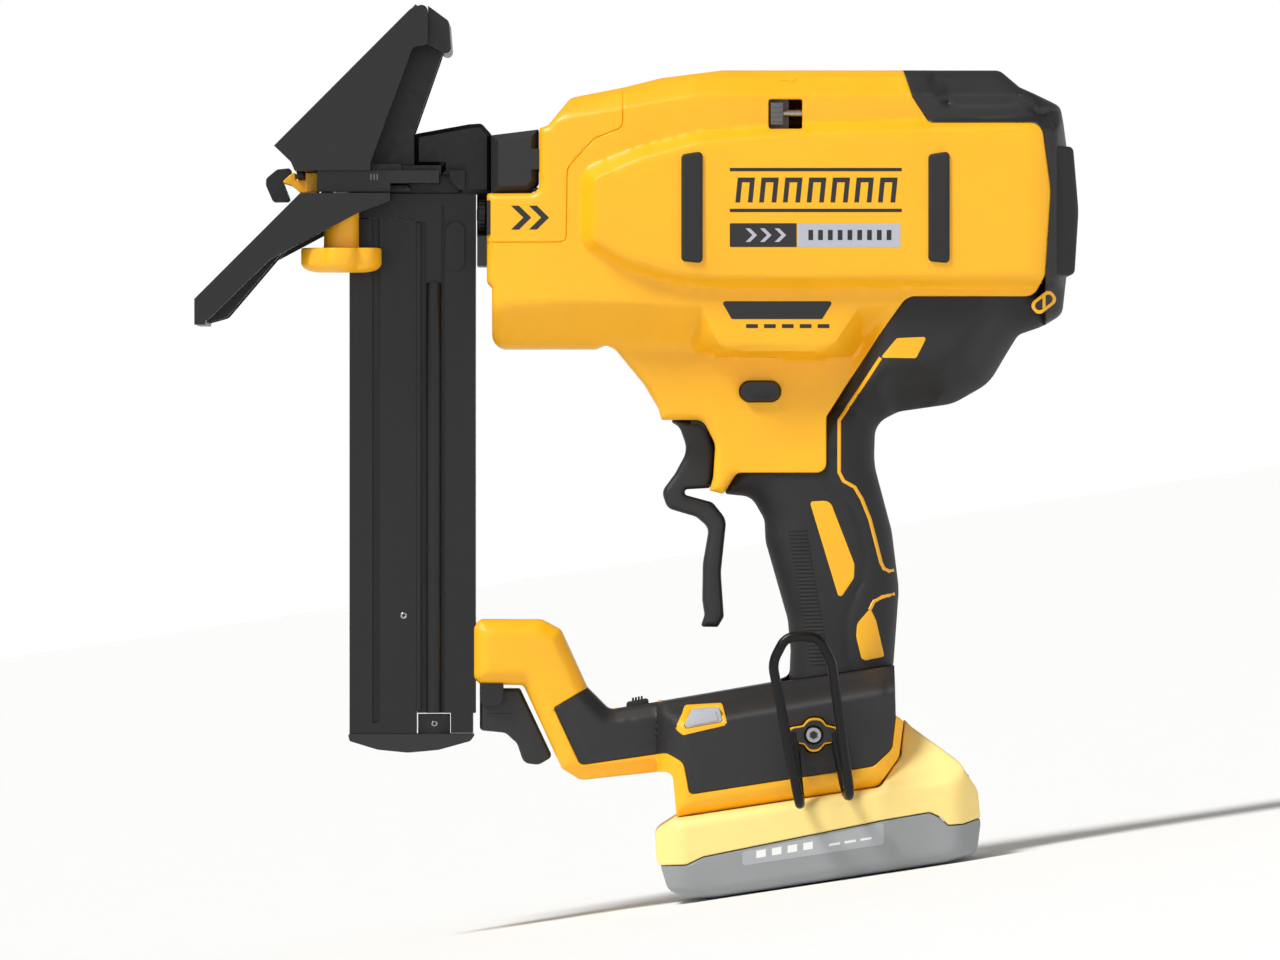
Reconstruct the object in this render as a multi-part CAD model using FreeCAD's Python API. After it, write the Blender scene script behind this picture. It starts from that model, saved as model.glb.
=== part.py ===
import FreeCAD, Part
import math
import os

# Cordless 45 degree flooring stapler, millimetres.
# Tool frame used by every function: X runs rearward from the sole, Z up along
# the magazine, near side at negative Y. save() stands the tool on its battery.

TILT = 8.6
ORIGIN_X = 223.0
ORIGIN_Z = 7.4

BODY_HALF = 33.0
BARREL_HALF = 41.0
NOSE_HALF = 29.0
BULGE_HALF = 32.0
GRIP_HALF = 17.5
GRIP_SKIN = 2.4
TAIL_HALF = 31.0
ARM_HALF = 16.0
BASE_HALF = 35.0
PANEL_SKIN = 1.6
COVER_HALF = 34.0
PACK_HALF = 37.5

FOOT_HALF = 40.0
GUSSET = 3.5
SOLE = 4.0
SHOE_PLAY = 4.0

MAG_HALF = 11.0
MAG_SLOT = 5.0
MAG_FRONT = 54.0
MAG_SPLIT = 78.0
MAG_REAR = 99.3
MAG_FOOT = 60.0
MAG_TOP = 245.0

DRIVE_Z = 255.7
BLADE_HALF = 3.4
BLADE_THICK = 1.4
WHEEL_X = 200.0
WHEEL_Z = 229.0
WHEEL_R = 21.5
ROLLER_R = 8.6

TRIGGER_PIN_X = 180.2
TRIGGER_PIN_Z = 178.6
TRIGGER_HALF = 7.6

KNOB_X = 51.4
KNOB_Y = -27.5
KNOB_R = 15.2
KNOB_TOP = 234.4

HOOK_WIRE_R = 1.8
HOOK_FACE = -41.8
HOOK_NEAR_Y = -40.2
HOOK_FAR_Y = -53.5
HOOK_SCREW = (220.5, 60)

PIN_R = 1.5
STUD_R = 3.0
SCREW_R = 2.0
SCREW_HEAD_R = 3.5
SCREW_SEAT = 13.0
BUTTON_X = 201.5
BUTTON_Z = 183
RELEASE = (-30.6, 282.6)
LATCH_PIN = (105, 72)
THUMB = (-8, 246.5)

ROD_Y = 16
ROD_Z = 254.8
ROD_R = 2.0
SHAFT_R = 2.98
BEARING_R = 8.0
ROLLER_Z = 266.6
PIVOT = (240, 274)

BUTTON_TOP = (259.0, 59.9)
BUTTON_LOW = (277.0, 44.8)
CELL_R = 9.0
CELL_STEP = 18.6
CELL_COUNT = 5
BLADE_PLACES = (-11, -4, 4, 11)


def vec(x, z, y=0.0):
    """Point of the tool frame."""
    return FreeCAD.Vector(x, y, z)


def corner(before, at, after, radius):
    """Start, middle and end of the arc that rounds one corner, or the corner."""
    back = before - at
    ahead = after - at
    room = 0.49 * min(back.Length, ahead.Length)
    back.normalize()
    ahead.normalize()
    half = back.getAngle(ahead) / 2
    if radius < 0.05 or half > 1.55:
        return [at]
    reach = min(radius / math.tan(half), room)
    radius = reach * math.tan(half)
    middle = back + ahead
    middle.normalize()
    tip = at + middle * (radius / math.sin(half) - radius)
    return [at + back * reach, tip, at + ahead * reach]


def track(points, radii, closed):
    """Wire through 3-D points with its corners rounded."""
    count = len(points)
    bends = []
    for i, at in enumerate(points):
        if not closed and i in (0, count - 1):
            bends.append([at])
        else:
            bends.append(corner(points[i - 1], at, points[(i + 1) % count], radii[i]))
    edges = []
    for i, bend in enumerate(bends):
        if len(bend) == 3:
            edges.append(Part.Arc(*bend).toShape())
        if closed or i < count - 1:
            start = bend[-1]
            end = bends[(i + 1) % count][0]
            edges.append(Part.LineSegment(start, end).toShape())
    return Part.Wire(edges)


def outline(corners, y=0.0):
    """Closed wire at one y; each corner is x, z and an optional radius."""
    points = [vec(c[0], c[1], y) for c in corners]
    radii = [c[2] if len(c) > 2 else 0.0 for c in corners]
    return track(points, radii, True)


def area(corners):
    total = 0.0
    for i, c in enumerate(corners):
        n = corners[(i + 1) % len(corners)]
        total += c[0] * n[1] - n[0] * c[1]
    return total / 2


def inset(corners, by):
    """The same corners moved inward, so that every side moves by the same amount."""
    turn = 1.0 if area(corners) > 0 else -1.0
    result = []
    for i, c in enumerate(corners):
        p = corners[i - 1]
        n = corners[(i + 1) % len(corners)]
        a = (c[0] - p[0], c[1] - p[1])
        b = (n[0] - c[0], n[1] - c[1])
        la = math.hypot(*a)
        lb = math.hypot(*b)
        na = (-a[1] / la * turn, a[0] / la * turn)
        nb = (-b[1] / lb * turn, b[0] / lb * turn)
        spread = 1.0 + na[0] * nb[0] + na[1] * nb[1]
        x = c[0] + by * (na[0] + nb[0]) / spread
        z = c[1] + by * (na[1] + nb[1]) / spread
        bulging = (a[0] * b[1] - a[1] * b[0]) * turn > 0
        radius = c[2] if len(c) > 2 else 0.0
        if radius > 0.05:
            radius = max(radius - by, 0.3) if bulging else max(radius + by, 0.3)
        result.append((x, z, radius))
    return result


def prism(corners, y0, y1):
    """Straight plate between two values of y."""
    face = Part.Face(outline(corners, y0))
    return face.extrude(FreeCAD.Vector(0, y1 - y0, 0))


def slab(corners, half, bevel, side, start=0.0):
    """Half plate from the middle plane out to one side, with a bevelled rim."""
    rim = side * (half - bevel)
    wires = [outline(corners, side * start), outline(corners, rim)]
    wires.append(outline(inset(corners, bevel), side * half))
    return Part.makeLoft(wires, True, True)


def both(corners, half, bevel):
    """Full-width plate bevelled on both sides."""
    return slab(corners, half, bevel, 1).fuse(slab(corners, half, bevel, -1)).removeSplitter()


def box(x0, x1, y0, y1, z0, z1):
    return Part.makeBox(x1 - x0, y1 - y0, z1 - z0, FreeCAD.Vector(x0, y0, z0))


def rod_y(x, z, radius, y0, y1):
    return Part.makeCylinder(radius, y1 - y0, FreeCAD.Vector(x, y0, z), FreeCAD.Vector(0, 1, 0))


def rod_x(y, z, radius, x0, x1):
    return Part.makeCylinder(radius, x1 - x0, FreeCAD.Vector(x0, y, z), FreeCAD.Vector(1, 0, 0))


def rod_z(x, y, radius, z0, z1):
    return Part.makeCylinder(radius, z1 - z0, FreeCAD.Vector(x, y, z0), FreeCAD.Vector(0, 0, 1))


def join(shapes):
    shape = shapes[0]
    for other in shapes[1:]:
        shape = shape.fuse(other)
    return shape.removeSplitter()


def rail_z(x):
    """Height of the underside of the base, which slopes with the battery."""
    return 30.6 + (x - 171.5) * math.tan(math.radians(TILT))


def tilted_box(x0, x1, y0, y1, low, high):
    """Box on the sloping battery rail; low and high are heights above it."""
    bottom = [(x0, rail_z(x0) + low), (x1, rail_z(x1) + low)]
    top = [(x1, rail_z(x1) + high), (x0, rail_z(x0) + high)]
    return prism(bottom + top, y0, y1)


def save(name, shape):
    """Stands the piece in the frame of the whole tool and writes it."""
    piece = shape.copy()
    piece.translate(FreeCAD.Vector(-ORIGIN_X, 0, -ORIGIN_Z))
    piece.rotate(FreeCAD.Vector(0, 0, 0), FreeCAD.Vector(0, 1, 0), TILT)
    if len(piece.Solids) == 1:
        piece = piece.Solids[0]
    piece.exportStep("parts/" + name + ".step")


# ---------------------------------------------------------------- outlines

NOSE_SEAM = [(152.4, 292.0), (152.2, 277.5, 3), (142, 273.5, 6), (132.4, 263, 5)]
NOSE_SEAM += [(132.0, 236.4, 2), (103.5, 236.4)]

COVER_SEAM = [(252.8, 298.2), (256.0, 288.5, 4), (262.0, 279.2, 2), (302.2, 279.2, 5)]
COVER_SEAM += [(305.5, 255.0, 30), (303.5, 225.0, 2)]

BODY = NOSE_SEAM[::-1][1:-1]
BODY = [(103.5, 236.4)] + BODY + [(152.4, 292.0), (188, 298.2, 20)] + COVER_SEAM
BODY += [(293, 217.0, 6), (254, 217.0, 4), (238, 198, 4), (166, 196, 1)]
BODY += [(146.5, 199.4, 2), (142, 198.2, 2), (105.3, 198.2, 4), (105.3, 220), (103.5, 222)]

NOSE_COVER = [(103.5, 236.4), (103.5, 254.0, 1), (122.3, 254.0, 3.3), (122.3, 277.2, 0.5)]
NOSE_COVER += [(125.5, 278.4, 1), (133.5, 288.3, 4), (152.4, 292.0)] + NOSE_SEAM[1:-1]

NECK = [(160, 204), (160.0, 185.4, 6), (165, 177, 6), (166.2, 173.3, 1), (183, 173.3, 4)]
NECK += [(187.8, 164, 8), (186.5, 152, 8), (183.4, 147.4, 0.5), (188.4, 146.2, 1)]
NECK += [(193, 153.8, 3), (225.3, 153.8, 3.5), (225.3, 174, 3), (244, 203, 2), (244, 206)]

BULGE = [(173, 222), (174, 210, 4), (180, 196, 10), (190, 187, 8), (226, 187, 8), (238.5, 201)]
BULGE += [(238.5, 222)]

BARREL = [(139, 262, 8), (139, 240, 5), (152, 227, 12), (180, 221.5, 20), (301.8, 221.5)]
BARREL += [(303.2, 246, 60), (302.4, 276.5, 3), (200, 276.5, 40), (160, 268.5, 12)]

REAR_COVER = [(252.8, 298.2), (288, 298.2, 6), (294, 292.0, 3), (309.5, 285.4, 4)]
REAR_COVER += [(311.5, 270.0, 8), (311.3, 224, 3), (309.6, 210.5, 5), (303.8, 206.6)]
REAR_COVER += [(270, 206.6), (252.8, 260)]

BUMPER = [(303.2, 270.8, 1), (313.5, 270.8, 2), (315.6, 247.5, 40), (314.0, 224.3, 2)]
BUMPER += [(303.2, 224.3, 1)]

TAIL = [(244, 203), (254, 217.0, 4), (293, 217.0, 6), (303.5, 225), (303.5, 206.6)]
TAIL += [(293.5, 202.4, 2), (285, 189, 5), (272, 179.3, 6), (252, 175.6, 8), (232, 184.4)]

GRIP = [(193, 153.8), (188.4, 146.2), (198.5, 145.2, 6), (203.2, 137, 6), (203.6, 129, 12)]
GRIP += [(211.6, 101, 14), (212.6, 90, 8), (212.4, 80.3), (246.5, 74.0), (250, 85, 8)]
GRIP += [(251.6, 112, 30), (249, 133, 20), (242.6, 157, 20), (243.4, 171, 8), (258, 177.4, 6)]
GRIP += [(238, 193.7), (225.3, 174, 3), (225.3, 153.8, 3.5)]

HANDLE_CORE = [(194.4, 152.5), (206.2, 136, 6), (214.2, 101, 12), (215.0, 80), (246.5, 77)]
HANDLE_CORE += [(249.2, 111, 20), (246.6, 132, 10), (240.2, 157, 8), (240.6, 178, 2), (228, 172)]
HANDLE_CORE += [(228, 152.5)]

INLAY = [(219.3, 143.5, 1), (226.6, 143.8, 3), (235.4, 121, 4), (235.2, 116, 3), (230, 108.2, 1)]

ARM = [(98.5, 80, 2), (98.5, 99, 2), (101, 101.2, 2), (123, 101.2, 4), (130, 97.8, 3)]
ARM += [(139.5, 77, 2), (152, 69, 8), (180, 74), (185, 40), (171.0, 40), (170, 46.8, 3)]
ARM += [(138, 43.2, 6), (130, 47.5, 3), (116.5, 77.4, 2), (101, 77.6, 2)]

BASE = [(171.5, 30.6, 0.5), (244, 41.6, 3), (251.5, 52, 5), (253, 65, 2), (246.5, 75)]
BASE += [(246.5, 86), (212.4, 86), (206, 78.3, 6), (168, 71.8, 4), (166.5, 55), (170, 47, 3)]

PANEL = [(139.5, 76.6, 1), (127.4, 69.4, 1), (137, 48.8, 2), (168, 53.3, 4), (174, 50, 4)]
PANEL += [(176, 39.2, 1.5), (242, 49.2, 4), (249.5, 58, 4), (250.2, 66), (246.5, 74)]
PANEL += [(246.5, 86), (212.4, 86), (206, 78.3, 6), (168, 71.8, 4), (148, 68.6, 4)]

PACK = [(171.2, 30.2, 1), (163.7, 25.5, 4), (164.3, 14, 6), (168.5, 4.2, 5)]
PACK += [(176.0, 1.2, 5), (186, 1.8, 6), (268, 14.2, 5), (279, 17.6, 4), (280.6, 28, 4)]
PACK += [(279.4, 40, 5), (273, 50, 6), (256, 62.4, 3), (253.4, 65.4), (251.9, 52.6, 1.5)]
PACK += [(244.4, 41.3, 3)]

HOLLOWS = [
    ([(108, 203), (108, 233.5), (135, 234), (135.5, 262), (146, 271.5), (155, 275), (155.5, 289),
      (188, 295), (250, 295), (254, 285), (260, 276.4), (300, 276.4), (302, 250), (300, 221),
      (252, 214), (240, 204), (236, 200.5), (150, 200.5), (147, 203)], BODY_HALF - 4.5),
    ([(143, 226.5), (301, 226.5), (301, 271), (200, 271), (164, 264), (143, 256)],
     BARREL_HALF - 4.0),
    ([(183, 192), (230, 192), (233, 224), (179, 224)], BULGE_HALF - 4.0),
    ([(168.8, 202), (168.8, 177.2), (190, 177.2), (190, 156.6), (222.6, 156.6), (222.6, 175.6),
      (238, 202)], GRIP_HALF - 4.0),
    ([(198, 160), (208, 132), (216.6, 101), (216.6, 70), (245.4, 70), (246.6, 112),
      (238, 160)], GRIP_HALF - GRIP_SKIN - 3.0),
    ([(103, 81.4), (103, 97), (121, 97), (128, 93), (136.6, 72), (150, 65), (210, 73), (210, 53),
      (139, 47.6), (132, 54), (119.5, 81.4)], ARM_HALF - 4.0),
    ([(176, 38), (176, 58), (206, 68), (247, 72), (248, 58), (243, 47)], BASE_HALF - 4.0)]

NOSE_HOLLOW = [(100, 239), (129.4, 239), (129.4, 262.4), (132, 262.4), (141, 274.6), (149, 278)]
NOSE_HOLLOW += [(149, 288), (135, 285), (126.4, 276), (126.4, 251.4), (100, 251.4)]

PACK_SPLIT = [(150, 10.6), (246, 29.6), (262, 32.4, 3), (290, 31.0), (290, -5), (150, -5)]


# ---------------------------------------------------------------- housing

def half_outer(side):
    """Outside of one housing half, from the nose to the battery rail."""
    body = slab(BODY, BODY_HALF, 5.0, side)
    barrel = slab(BARREL, BARREL_HALF, 4.0, side)
    bulge = slab(BULGE, BULGE_HALF, 3.0, side)
    neck = slab(NECK, GRIP_HALF, 2.0, side)
    handle = slab(HANDLE_CORE, GRIP_HALF - GRIP_SKIN, 1.5, side)
    link = prism([(193, 158), (193, 140), (236, 128), (236, 190)], 0, side * 12.0)
    arm = slab(ARM, ARM_HALF, 3.0, side)
    base = slab(BASE, BASE_HALF, 4.0, side)
    foot = prism([(214.8, 88), (248, 88), (246, 74), (214.8, 76)], 0, side * 14.0)
    return join([body, barrel, bulge, neck, handle, link, arm, base, foot])


def half_inner(side):
    """Hollow of one housing half."""
    hollows = []
    for corners, depth in HOLLOWS:
        hollows.append(prism(corners, 0, side * depth))
    return join(hollows)


def panel_skin(side):
    """Dark moulded skin let into the side of the arm and the base."""
    arm = prism(ARM, side * (ARM_HALF - PANEL_SKIN), side * ARM_HALF)
    base = prism(BASE, side * (BASE_HALF - PANEL_SKIN), side * BASE_HALF)
    region = prism(PANEL, side * 5, side * BASE_HALF)
    return region.common(arm.cut(prism(BASE, 0, side * BASE_HALF)).fuse(base))


def housing_cuts():
    """Openings that pass through both housing halves."""
    cuts = [prism(TRIGGER_SLOT, -8.4, 8.4)]
    cuts.append(button_bar(0.35))
    cuts.append(box(120, 137, -21.2, 21.2, 249.4, 259.6))
    cuts.append(box(100, 131.9, -27.2, 27.2, 252.4, 279))
    cuts.append(tilted_box(178, 262, -25.5, 25.5, -3, 12.0))
    cuts.append(tilted_box(178, 262, -29.5, 29.5, -3, 3.2))
    cuts.append(prism([(149.6, 64), (149.6, 78), (165.8, 80), (165.8, 66)], -5.4, 5.4))
    return cuts


def housing(side):
    """One moulded housing half with its screw bosses and openings."""
    outer = half_outer(side)
    half = outer.cut(half_inner(side))
    bosses = []
    for x, z in screw_places():
        bosses.append(rod_y(x, z, 4.6, min(0, side * 13), max(0, side * 13)))
    low, high = sorted((8.4 * side, 13.6 * side))
    bosses.append(rod_y(TRIGGER_PIN_X, TRIGGER_PIN_Z, 4.5, low, high))
    half = half.fuse(join(bosses).common(outer))
    for cut in housing_cuts():
        half = half.cut(cut)
    half = half.cut(panel_skin(side))
    half = half.cut(rod_y(TRIGGER_PIN_X, TRIGGER_PIN_Z, PIN_R, -11, 11))
    half = half.cut(box(90, MAG_REAR, -MAG_HALF, MAG_HALF, 60, 256))
    half = half.cut(magazine_bracket())
    half = half.cut(latch_pin())
    half = half.cut(box(195.4, 215, -7, 7, 154, 170))
    for x, z in screw_places():
        half = half.cut(rod_y(x, z, 2.1, -6.5, 60))
        if side > 0:
            half = half.cut(rod_y(x, z, 3.9, 13.0, 60))
    if side < 0:
        half = half.cut(box(204.5, 216.5, -60, -20, 276.9, 287.5))
        half = half.cut(rod_x(*RELEASE, 1.55, 216, 222.5))
        half = half.cut(prism(LENS, -60, -BASE_HALF + 6.0))
        half = half.cut(prism(HOOK_POCKET, -60, -BASE_HALF + 4.0))
    return sorted(half.Solids, key=lambda s: s.Volume)[-1]


def screw_places():
    """Centres of the ten screws that hold the housing halves together."""
    body = [(112, 211), (163, 206), (239, 214), (176, 287), (240, 291), (292, 224), (296, 273)]
    return body + [(128, 91), (228, 103), (236, 150)]


def nose_cover():
    """Yellow cover over the front of the drive."""
    solid = both(NOSE_COVER, NOSE_HALF + 1.5, 3.0)
    solid = solid.cut(prism(NOSE_HOLLOW, -27.2, 27.2))
    solid = solid.cut(box(120, 137, -21.2, 21.2, 249.4, 259.6))
    solid = solid.cut(box(100, 150, -6.4, 6.4, 250.4, 258.4))
    return solid.cut(box(100, 131.9, -27.2, 27.2, 252.4, 279))


def rear_cover():
    """Black cover over the back of the body."""
    solid = both(REAR_COVER, COVER_HALF, 4.0).cut(prism(BODY, -60, 60))
    solid = solid.cut(box(256.5, 290, -COVER_HALF + 4, COVER_HALF - 4, 282, 295.2))
    solid = solid.cut(prism(TAIL, -60, 60))
    return sorted(solid.Solids, key=lambda s: s.Volume)[-1]


def rear_bumper():
    """Soft pad on the rear cover."""
    solid = both(BUMPER, COVER_HALF + 2.5, 3.0)
    solid = solid.cut(both(REAR_COVER, COVER_HALF, 4.0)).cut(prism(BODY, -60, 60))
    return sorted(solid.Solids, key=lambda s: s.Volume)[-1]


def side_strips():
    """Four rubber strips, two on each flank, standing a little proud of it."""
    strips = []
    for side in (-1, 1):
        for x0, x1, z0, z1 in ((173, 181, 228.5, 268), (261.3, 269.3, 228.5, 269)):
            face = side * (BARREL_HALF + 1.2)
            corners = [(x0, z0 + 1, 1), (x0, z1 - 1, 1), (x1, z1, 1), (x1, z0, 1)]
            strips.append(prism(corners, side * BARREL_HALF, face))
    return Part.makeCompound(strips)


def grip_overmould(side):
    """Soft black skin of the handle and of the tail under the motor."""
    handle = slab(GRIP, GRIP_HALF, 3.0, side)
    tail = slab(TAIL, TAIL_HALF, 4.0, side)
    solid = handle.fuse(tail).cut(prism(NECK, -60, 60)).cut(prism(BODY, -60, 60))
    solid = solid.cut(half_outer(side)).cut(prism(INLAY, side * 5, side * 40))
    solid = solid.cut(prism([(262, 184), (256, 213), (300, 213), (288, 196)], 0, side * 26))
    solid = solid.cut(prism(TRIGGER_SLOT, -8.4, 8.4)).cut(prism(HOLLOWS[4][0], 0, side * 12))
    for x, z in screw_places():
        solid = solid.cut(rod_y(x, z, 3.9, 12.0, 60))
    return sorted(solid.Solids, key=lambda s: s.Volume)[-1]


# ---------------------------------------------------------------- controls

TRIGGER_SLOT = [(160, 184.4), (160, 136), (199, 136), (195, 172), (190.2, 174), (190.2, 184.4)]

TRIGGER = [(168, 173.0, 2), (172.6, 170.3, 4), (175.6, 162, 8), (171, 153.5, 6)]
TRIGGER += [(166.2, 147, 4), (168.2, 141, 4), (178.5, 138, 4), (183.2, 134, 4), (181, 121, 20)]
TRIGGER += [(180.8, 108, 10), (181.6, 102.5, 3), (180.2, 98.4, 0.8), (186.4, 98.3, 1.2)]
TRIGGER += [(188.6, 102, 2), (187.5, 118, 20), (189.5, 137, 6), (184.5, 143.2, 3)]
TRIGGER += [(174.5, 145.9, 1), (174.6, 147.8, 1), (183.5, 148.3, 1), (185.0, 152, 3)]
TRIGGER += [(186.0, 162, 6), (183.5, 170, 4), (180, 173.0, 2)]


def trigger():
    """Lever with its long lower extension."""
    wide = both(TRIGGER, TRIGGER_HALF, 1.5)
    hub = rod_y(TRIGGER_PIN_X, TRIGGER_PIN_Z, 4.2, -TRIGGER_HALF, TRIGGER_HALF)
    neck = box(176.4, 183.0, -TRIGGER_HALF, TRIGGER_HALF, 168, 178)
    wide = join([wide, hub, neck])
    return wide.cut(rod_y(TRIGGER_PIN_X, TRIGGER_PIN_Z, 1.55, -20, 20))


def trigger_pin():
    """Hinge pin of the trigger."""
    return rod_y(TRIGGER_PIN_X, TRIGGER_PIN_Z, PIN_R, -11, 11)


def trigger_switch():
    """Switch body and its plunger behind the trigger."""
    block = box(197.5, 215, -7, 7, 154, 170)
    return block.fuse(rod_x(0, 162, 2.2, 195.6, 197.5)).removeSplitter()


def button_bar(grow):
    """Oval cross bar of the lock-off button."""
    half_width = 7.2 + grow
    half_height = 3.55 + grow
    corners = []
    for across, up in ((-1, -1), (1, -1), (1, 1), (-1, 1)):
        x = BUTTON_X + across * half_width
        corners.append((x, BUTTON_Z + up * half_height, half_height))
    if grow:
        return prism(corners, -60, 60)
    return prism(corners, -21.2, 18.6)


def stall_slider():
    """Release slide that frees the driver, seen through its window."""
    tab = box(205.1, 209.8, -33.0, -27.9, 278.2, 286.4)
    foot = box(203.6, 212.0, -27.9, -25.2, 275.0, 289.2)
    return tab.fuse(foot).removeSplitter()


def stall_spring():
    """Guide pin of the release slide; it runs into a bore at the end of the window."""
    return rod_x(*RELEASE, 1.2, 209.8, 217.6)


def mode_slider():
    """Sequential or bump selector on top of the arm."""
    low = [(153.4, 66.6), (153.4, 71.4, 1), (161.6, 72.9, 1), (161.6, 68.1)]
    high = [(155.4, 70.5), (155.4, 73.7, 0.8), (159.6, 74.5, 0.8), (159.6, 71.5)]
    return prism(low, -5.0, 5.0).fuse(prism(high, -4.2, 4.2)).removeSplitter()


# ---------------------------------------------------------------- nose and feet

def nose_plate():
    """Fixed plate between the two feet; the blade runs inside its keel."""
    wide = box(43, 47.9, -36, -18.8, 257.5, 262).fuse(box(43, 47.9, 18.8, 36, 257.5, 262))
    wide = wide.fuse(box(47.9, 86.5, -36, 36, 257.5, 262))
    keel = box(47.9, 93.4, -9, 9, 254.3, 260.9)
    step = box(62.1, 73, -30, 30, 262, 264.4).fuse(box(73, 87, -26, 26, 261, 264))
    skirts = [box(43, 69, y, y + 5, 254.4, 257.6) for y in (-36, 31)]
    solid = join([wide, keel, step] + skirts)
    half = BLADE_THICK / 2 + 0.3
    wide = BLADE_HALF + 0.3
    solid = solid.cut(box(40, 100, -wide, wide, DRIVE_Z - half, DRIVE_Z + half))
    solid = solid.cut(rod_z(KNOB_X, KNOB_Y, 3.05, 250, 265))
    return solid.cut(rod_z(KNOB_X, -KNOB_Y, 3.05, 250, 265))


def nose_body():
    """Cast block that carries the nose plate and bolts to the nose bridge."""
    side = [(77.5, 264), (77.5, 275.5, 1), (97, 279, 1), (101.5, 279.3, 2), (104.9, 275.5, 1)]
    side += [(104.9, 254.1), (93.6, 254.1), (93.6, 261), (87.2, 261), (87.2, 264)]
    solid = both(side, 14, 1.5)
    solid = solid.cut(box(70, 110, -6.5, 6.5, 252, 258.0))
    hook = prism([(90, 259), (90, 262.4), (95.5, 262.4), (95.5, 255.4), (93.6, 255.4)], -17, -14)
    return solid.fuse(hook).removeSplitter()


def nose_bridge():
    """Black collar between the nose casting and the housing."""
    corners = [(105, 254.3), (119, 254.3, 3), (121.9, 258, 2), (121.9, 276.9), (105, 274.8)]
    solid = both(corners, 26.8, 2.5)
    tongue = box(118, 131.6, -26.8, 26.8, 262.6, 270)
    solid = solid.fuse(tongue)
    return solid.cut(box(100, 140, -15, 15, 249, 262.2)).removeSplitter()


def sole_band(x0, z0, x1, z1):
    """Plate along a 45 degree sole, its thickness on the tool side."""
    off = SOLE / math.sqrt(2)
    corners = [(x0, z0), (x1, z1), (x1 + off, z1 - off), (x0 + off, z0 - off)]
    return prism(corners, -FOOT_HALF, FOOT_HALF)


def upper_foot():
    """Foot that rests on the floor under the board."""
    side = [(27.5, 270.8), (76.5, 320.0, 6), (82.5, 322, 3), (82.5, 307), (77, 306, 2)]
    side += [(61, 262.0, 2), (34.8, 262.0), (33.5, 265)]
    plates = [prism(side, s * FOOT_HALF, s * (FOOT_HALF - GUSSET)) for s in (-1, 1)]
    flange = [(82.5, 321), (90, 315.5, 2), (91, 302.5, 2), (82.5, 307)]
    plates.append(prism(flange, -FOOT_HALF + 6, FOOT_HALF - 6))
    plates.append(sole_band(27.8, 271.0, 78.2, 321.4))
    plates.append(box(34.8, 62, -FOOT_HALF, FOOT_HALF, 262, 265.2))
    web = [(36, 262), (38, 279), (80, 320), (89, 312), (87, 303), (77.3, 275.5), (77.3, 264.4)]
    web += [(61, 264.4), (61, 262)]
    plates.append(prism(web, 12, 15))
    plates.append(prism(web, -15, -12))
    return join(plates).cut(box(32, 40, -11.8, 11.8, 261, 265.4))


def board_shoe():
    """Adjustable foot that rests on top of the board."""
    side = [(-1, 216), (36.9, 253.9), (69, 253.9), (69, 251, 1), (57, 246.5, 4), (26, 230, 8)]
    side += [(4, 208.5, 3), (-1, 206.8, 1)]
    plates = [prism(side, s * FOOT_HALF, s * (FOOT_HALF - GUSSET)) for s in (-1, 1)]
    plates.append(sole_band(-1, 216, 36.9, 253.9))
    plates.append(box(36.9, 69, -FOOT_HALF, FOOT_HALF, 250.9, 253.9))
    plates.append(box(-1, 3, -FOOT_HALF, FOOT_HALF, 206.8, 215.5))
    rib = [(1, 213), (38, 252), (49, 252), (30, 233), (10, 209.5, 3), (1, 207)]
    plates.append(prism(rib, 14, 17))
    plates.append(prism(rib, -17, -14))
    solid = join(plates)
    solid = solid.cut(box(48.5, 72, -12.6, 12.6, 245, 256))
    solid = solid.cut(box(28, 42, -11.8, 11.8, 246.5, 256))
    for y in (KNOB_Y, -KNOB_Y):
        front = KNOB_X - SHOE_PLAY - 0.5
        rear = KNOB_X + SHOE_PLAY + 0.5
        slot = box(front, rear, y - 3.3, y + 3.3, 240, 256)
        slot = slot.fuse(rod_z(front, y, 3.3, 240, 256))
        slot = slot.fuse(rod_z(rear, y, 3.3, 240, 256))
        solid = solid.cut(slot)
    return solid


def clamp_knob():
    """Six-lobed knob with its stud."""
    disc = rod_z(KNOB_X, KNOB_Y, KNOB_R - 1.6, 227.6, KNOB_TOP)
    for i in range(6):
        turn = math.radians(60 * i + 30)
        x = KNOB_X + (KNOB_R - 4.6) * math.cos(turn)
        y = KNOB_Y + (KNOB_R - 4.6) * math.sin(turn)
        disc = disc.fuse(rod_z(x, y, 4.6, 227.6, KNOB_TOP))
    foot = Part.makeCone(10.5, KNOB_R - 1.6, 2.1, vec(KNOB_X, 225.5, KNOB_Y), FreeCAD.Vector(0, 0, 1))
    disc = disc.fuse(foot).removeSplitter()
    neck = rod_z(KNOB_X, KNOB_Y, 6.3, KNOB_TOP, 250.6)
    disc = disc.fuse(neck).removeSplitter()
    return disc.cut(rod_z(KNOB_X, KNOB_Y, STUD_R, 240, 260))


def stud(y):
    """Threaded stud between the plate and the clamp knob."""
    return rod_z(KNOB_X, y, STUD_R, 240, 261.8)


def guide_screw():
    """Shouldered screw that guides the far side of the shoe."""
    y = -KNOB_Y
    head = rod_z(KNOB_X, y, 5.6, 246.6, 250.6)
    return rod_z(KNOB_X, y, STUD_R, 250.6, 261.8).fuse(head).removeSplitter()


def contact_hook():
    """Two dark prongs of the contact trip, one each side of the staple exit."""
    side = [(34, 263.4, 1), (28, 262.8, 2), (24, 259.5, 2), (24, 257, 1), (26.5, 251.2, 1)]
    side += [(32.8, 251.3, 1), (30.2, 258)]
    return Part.makeCompound([prism(side, -11, -5.2), prism(side, 5.2, 11)])


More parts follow.
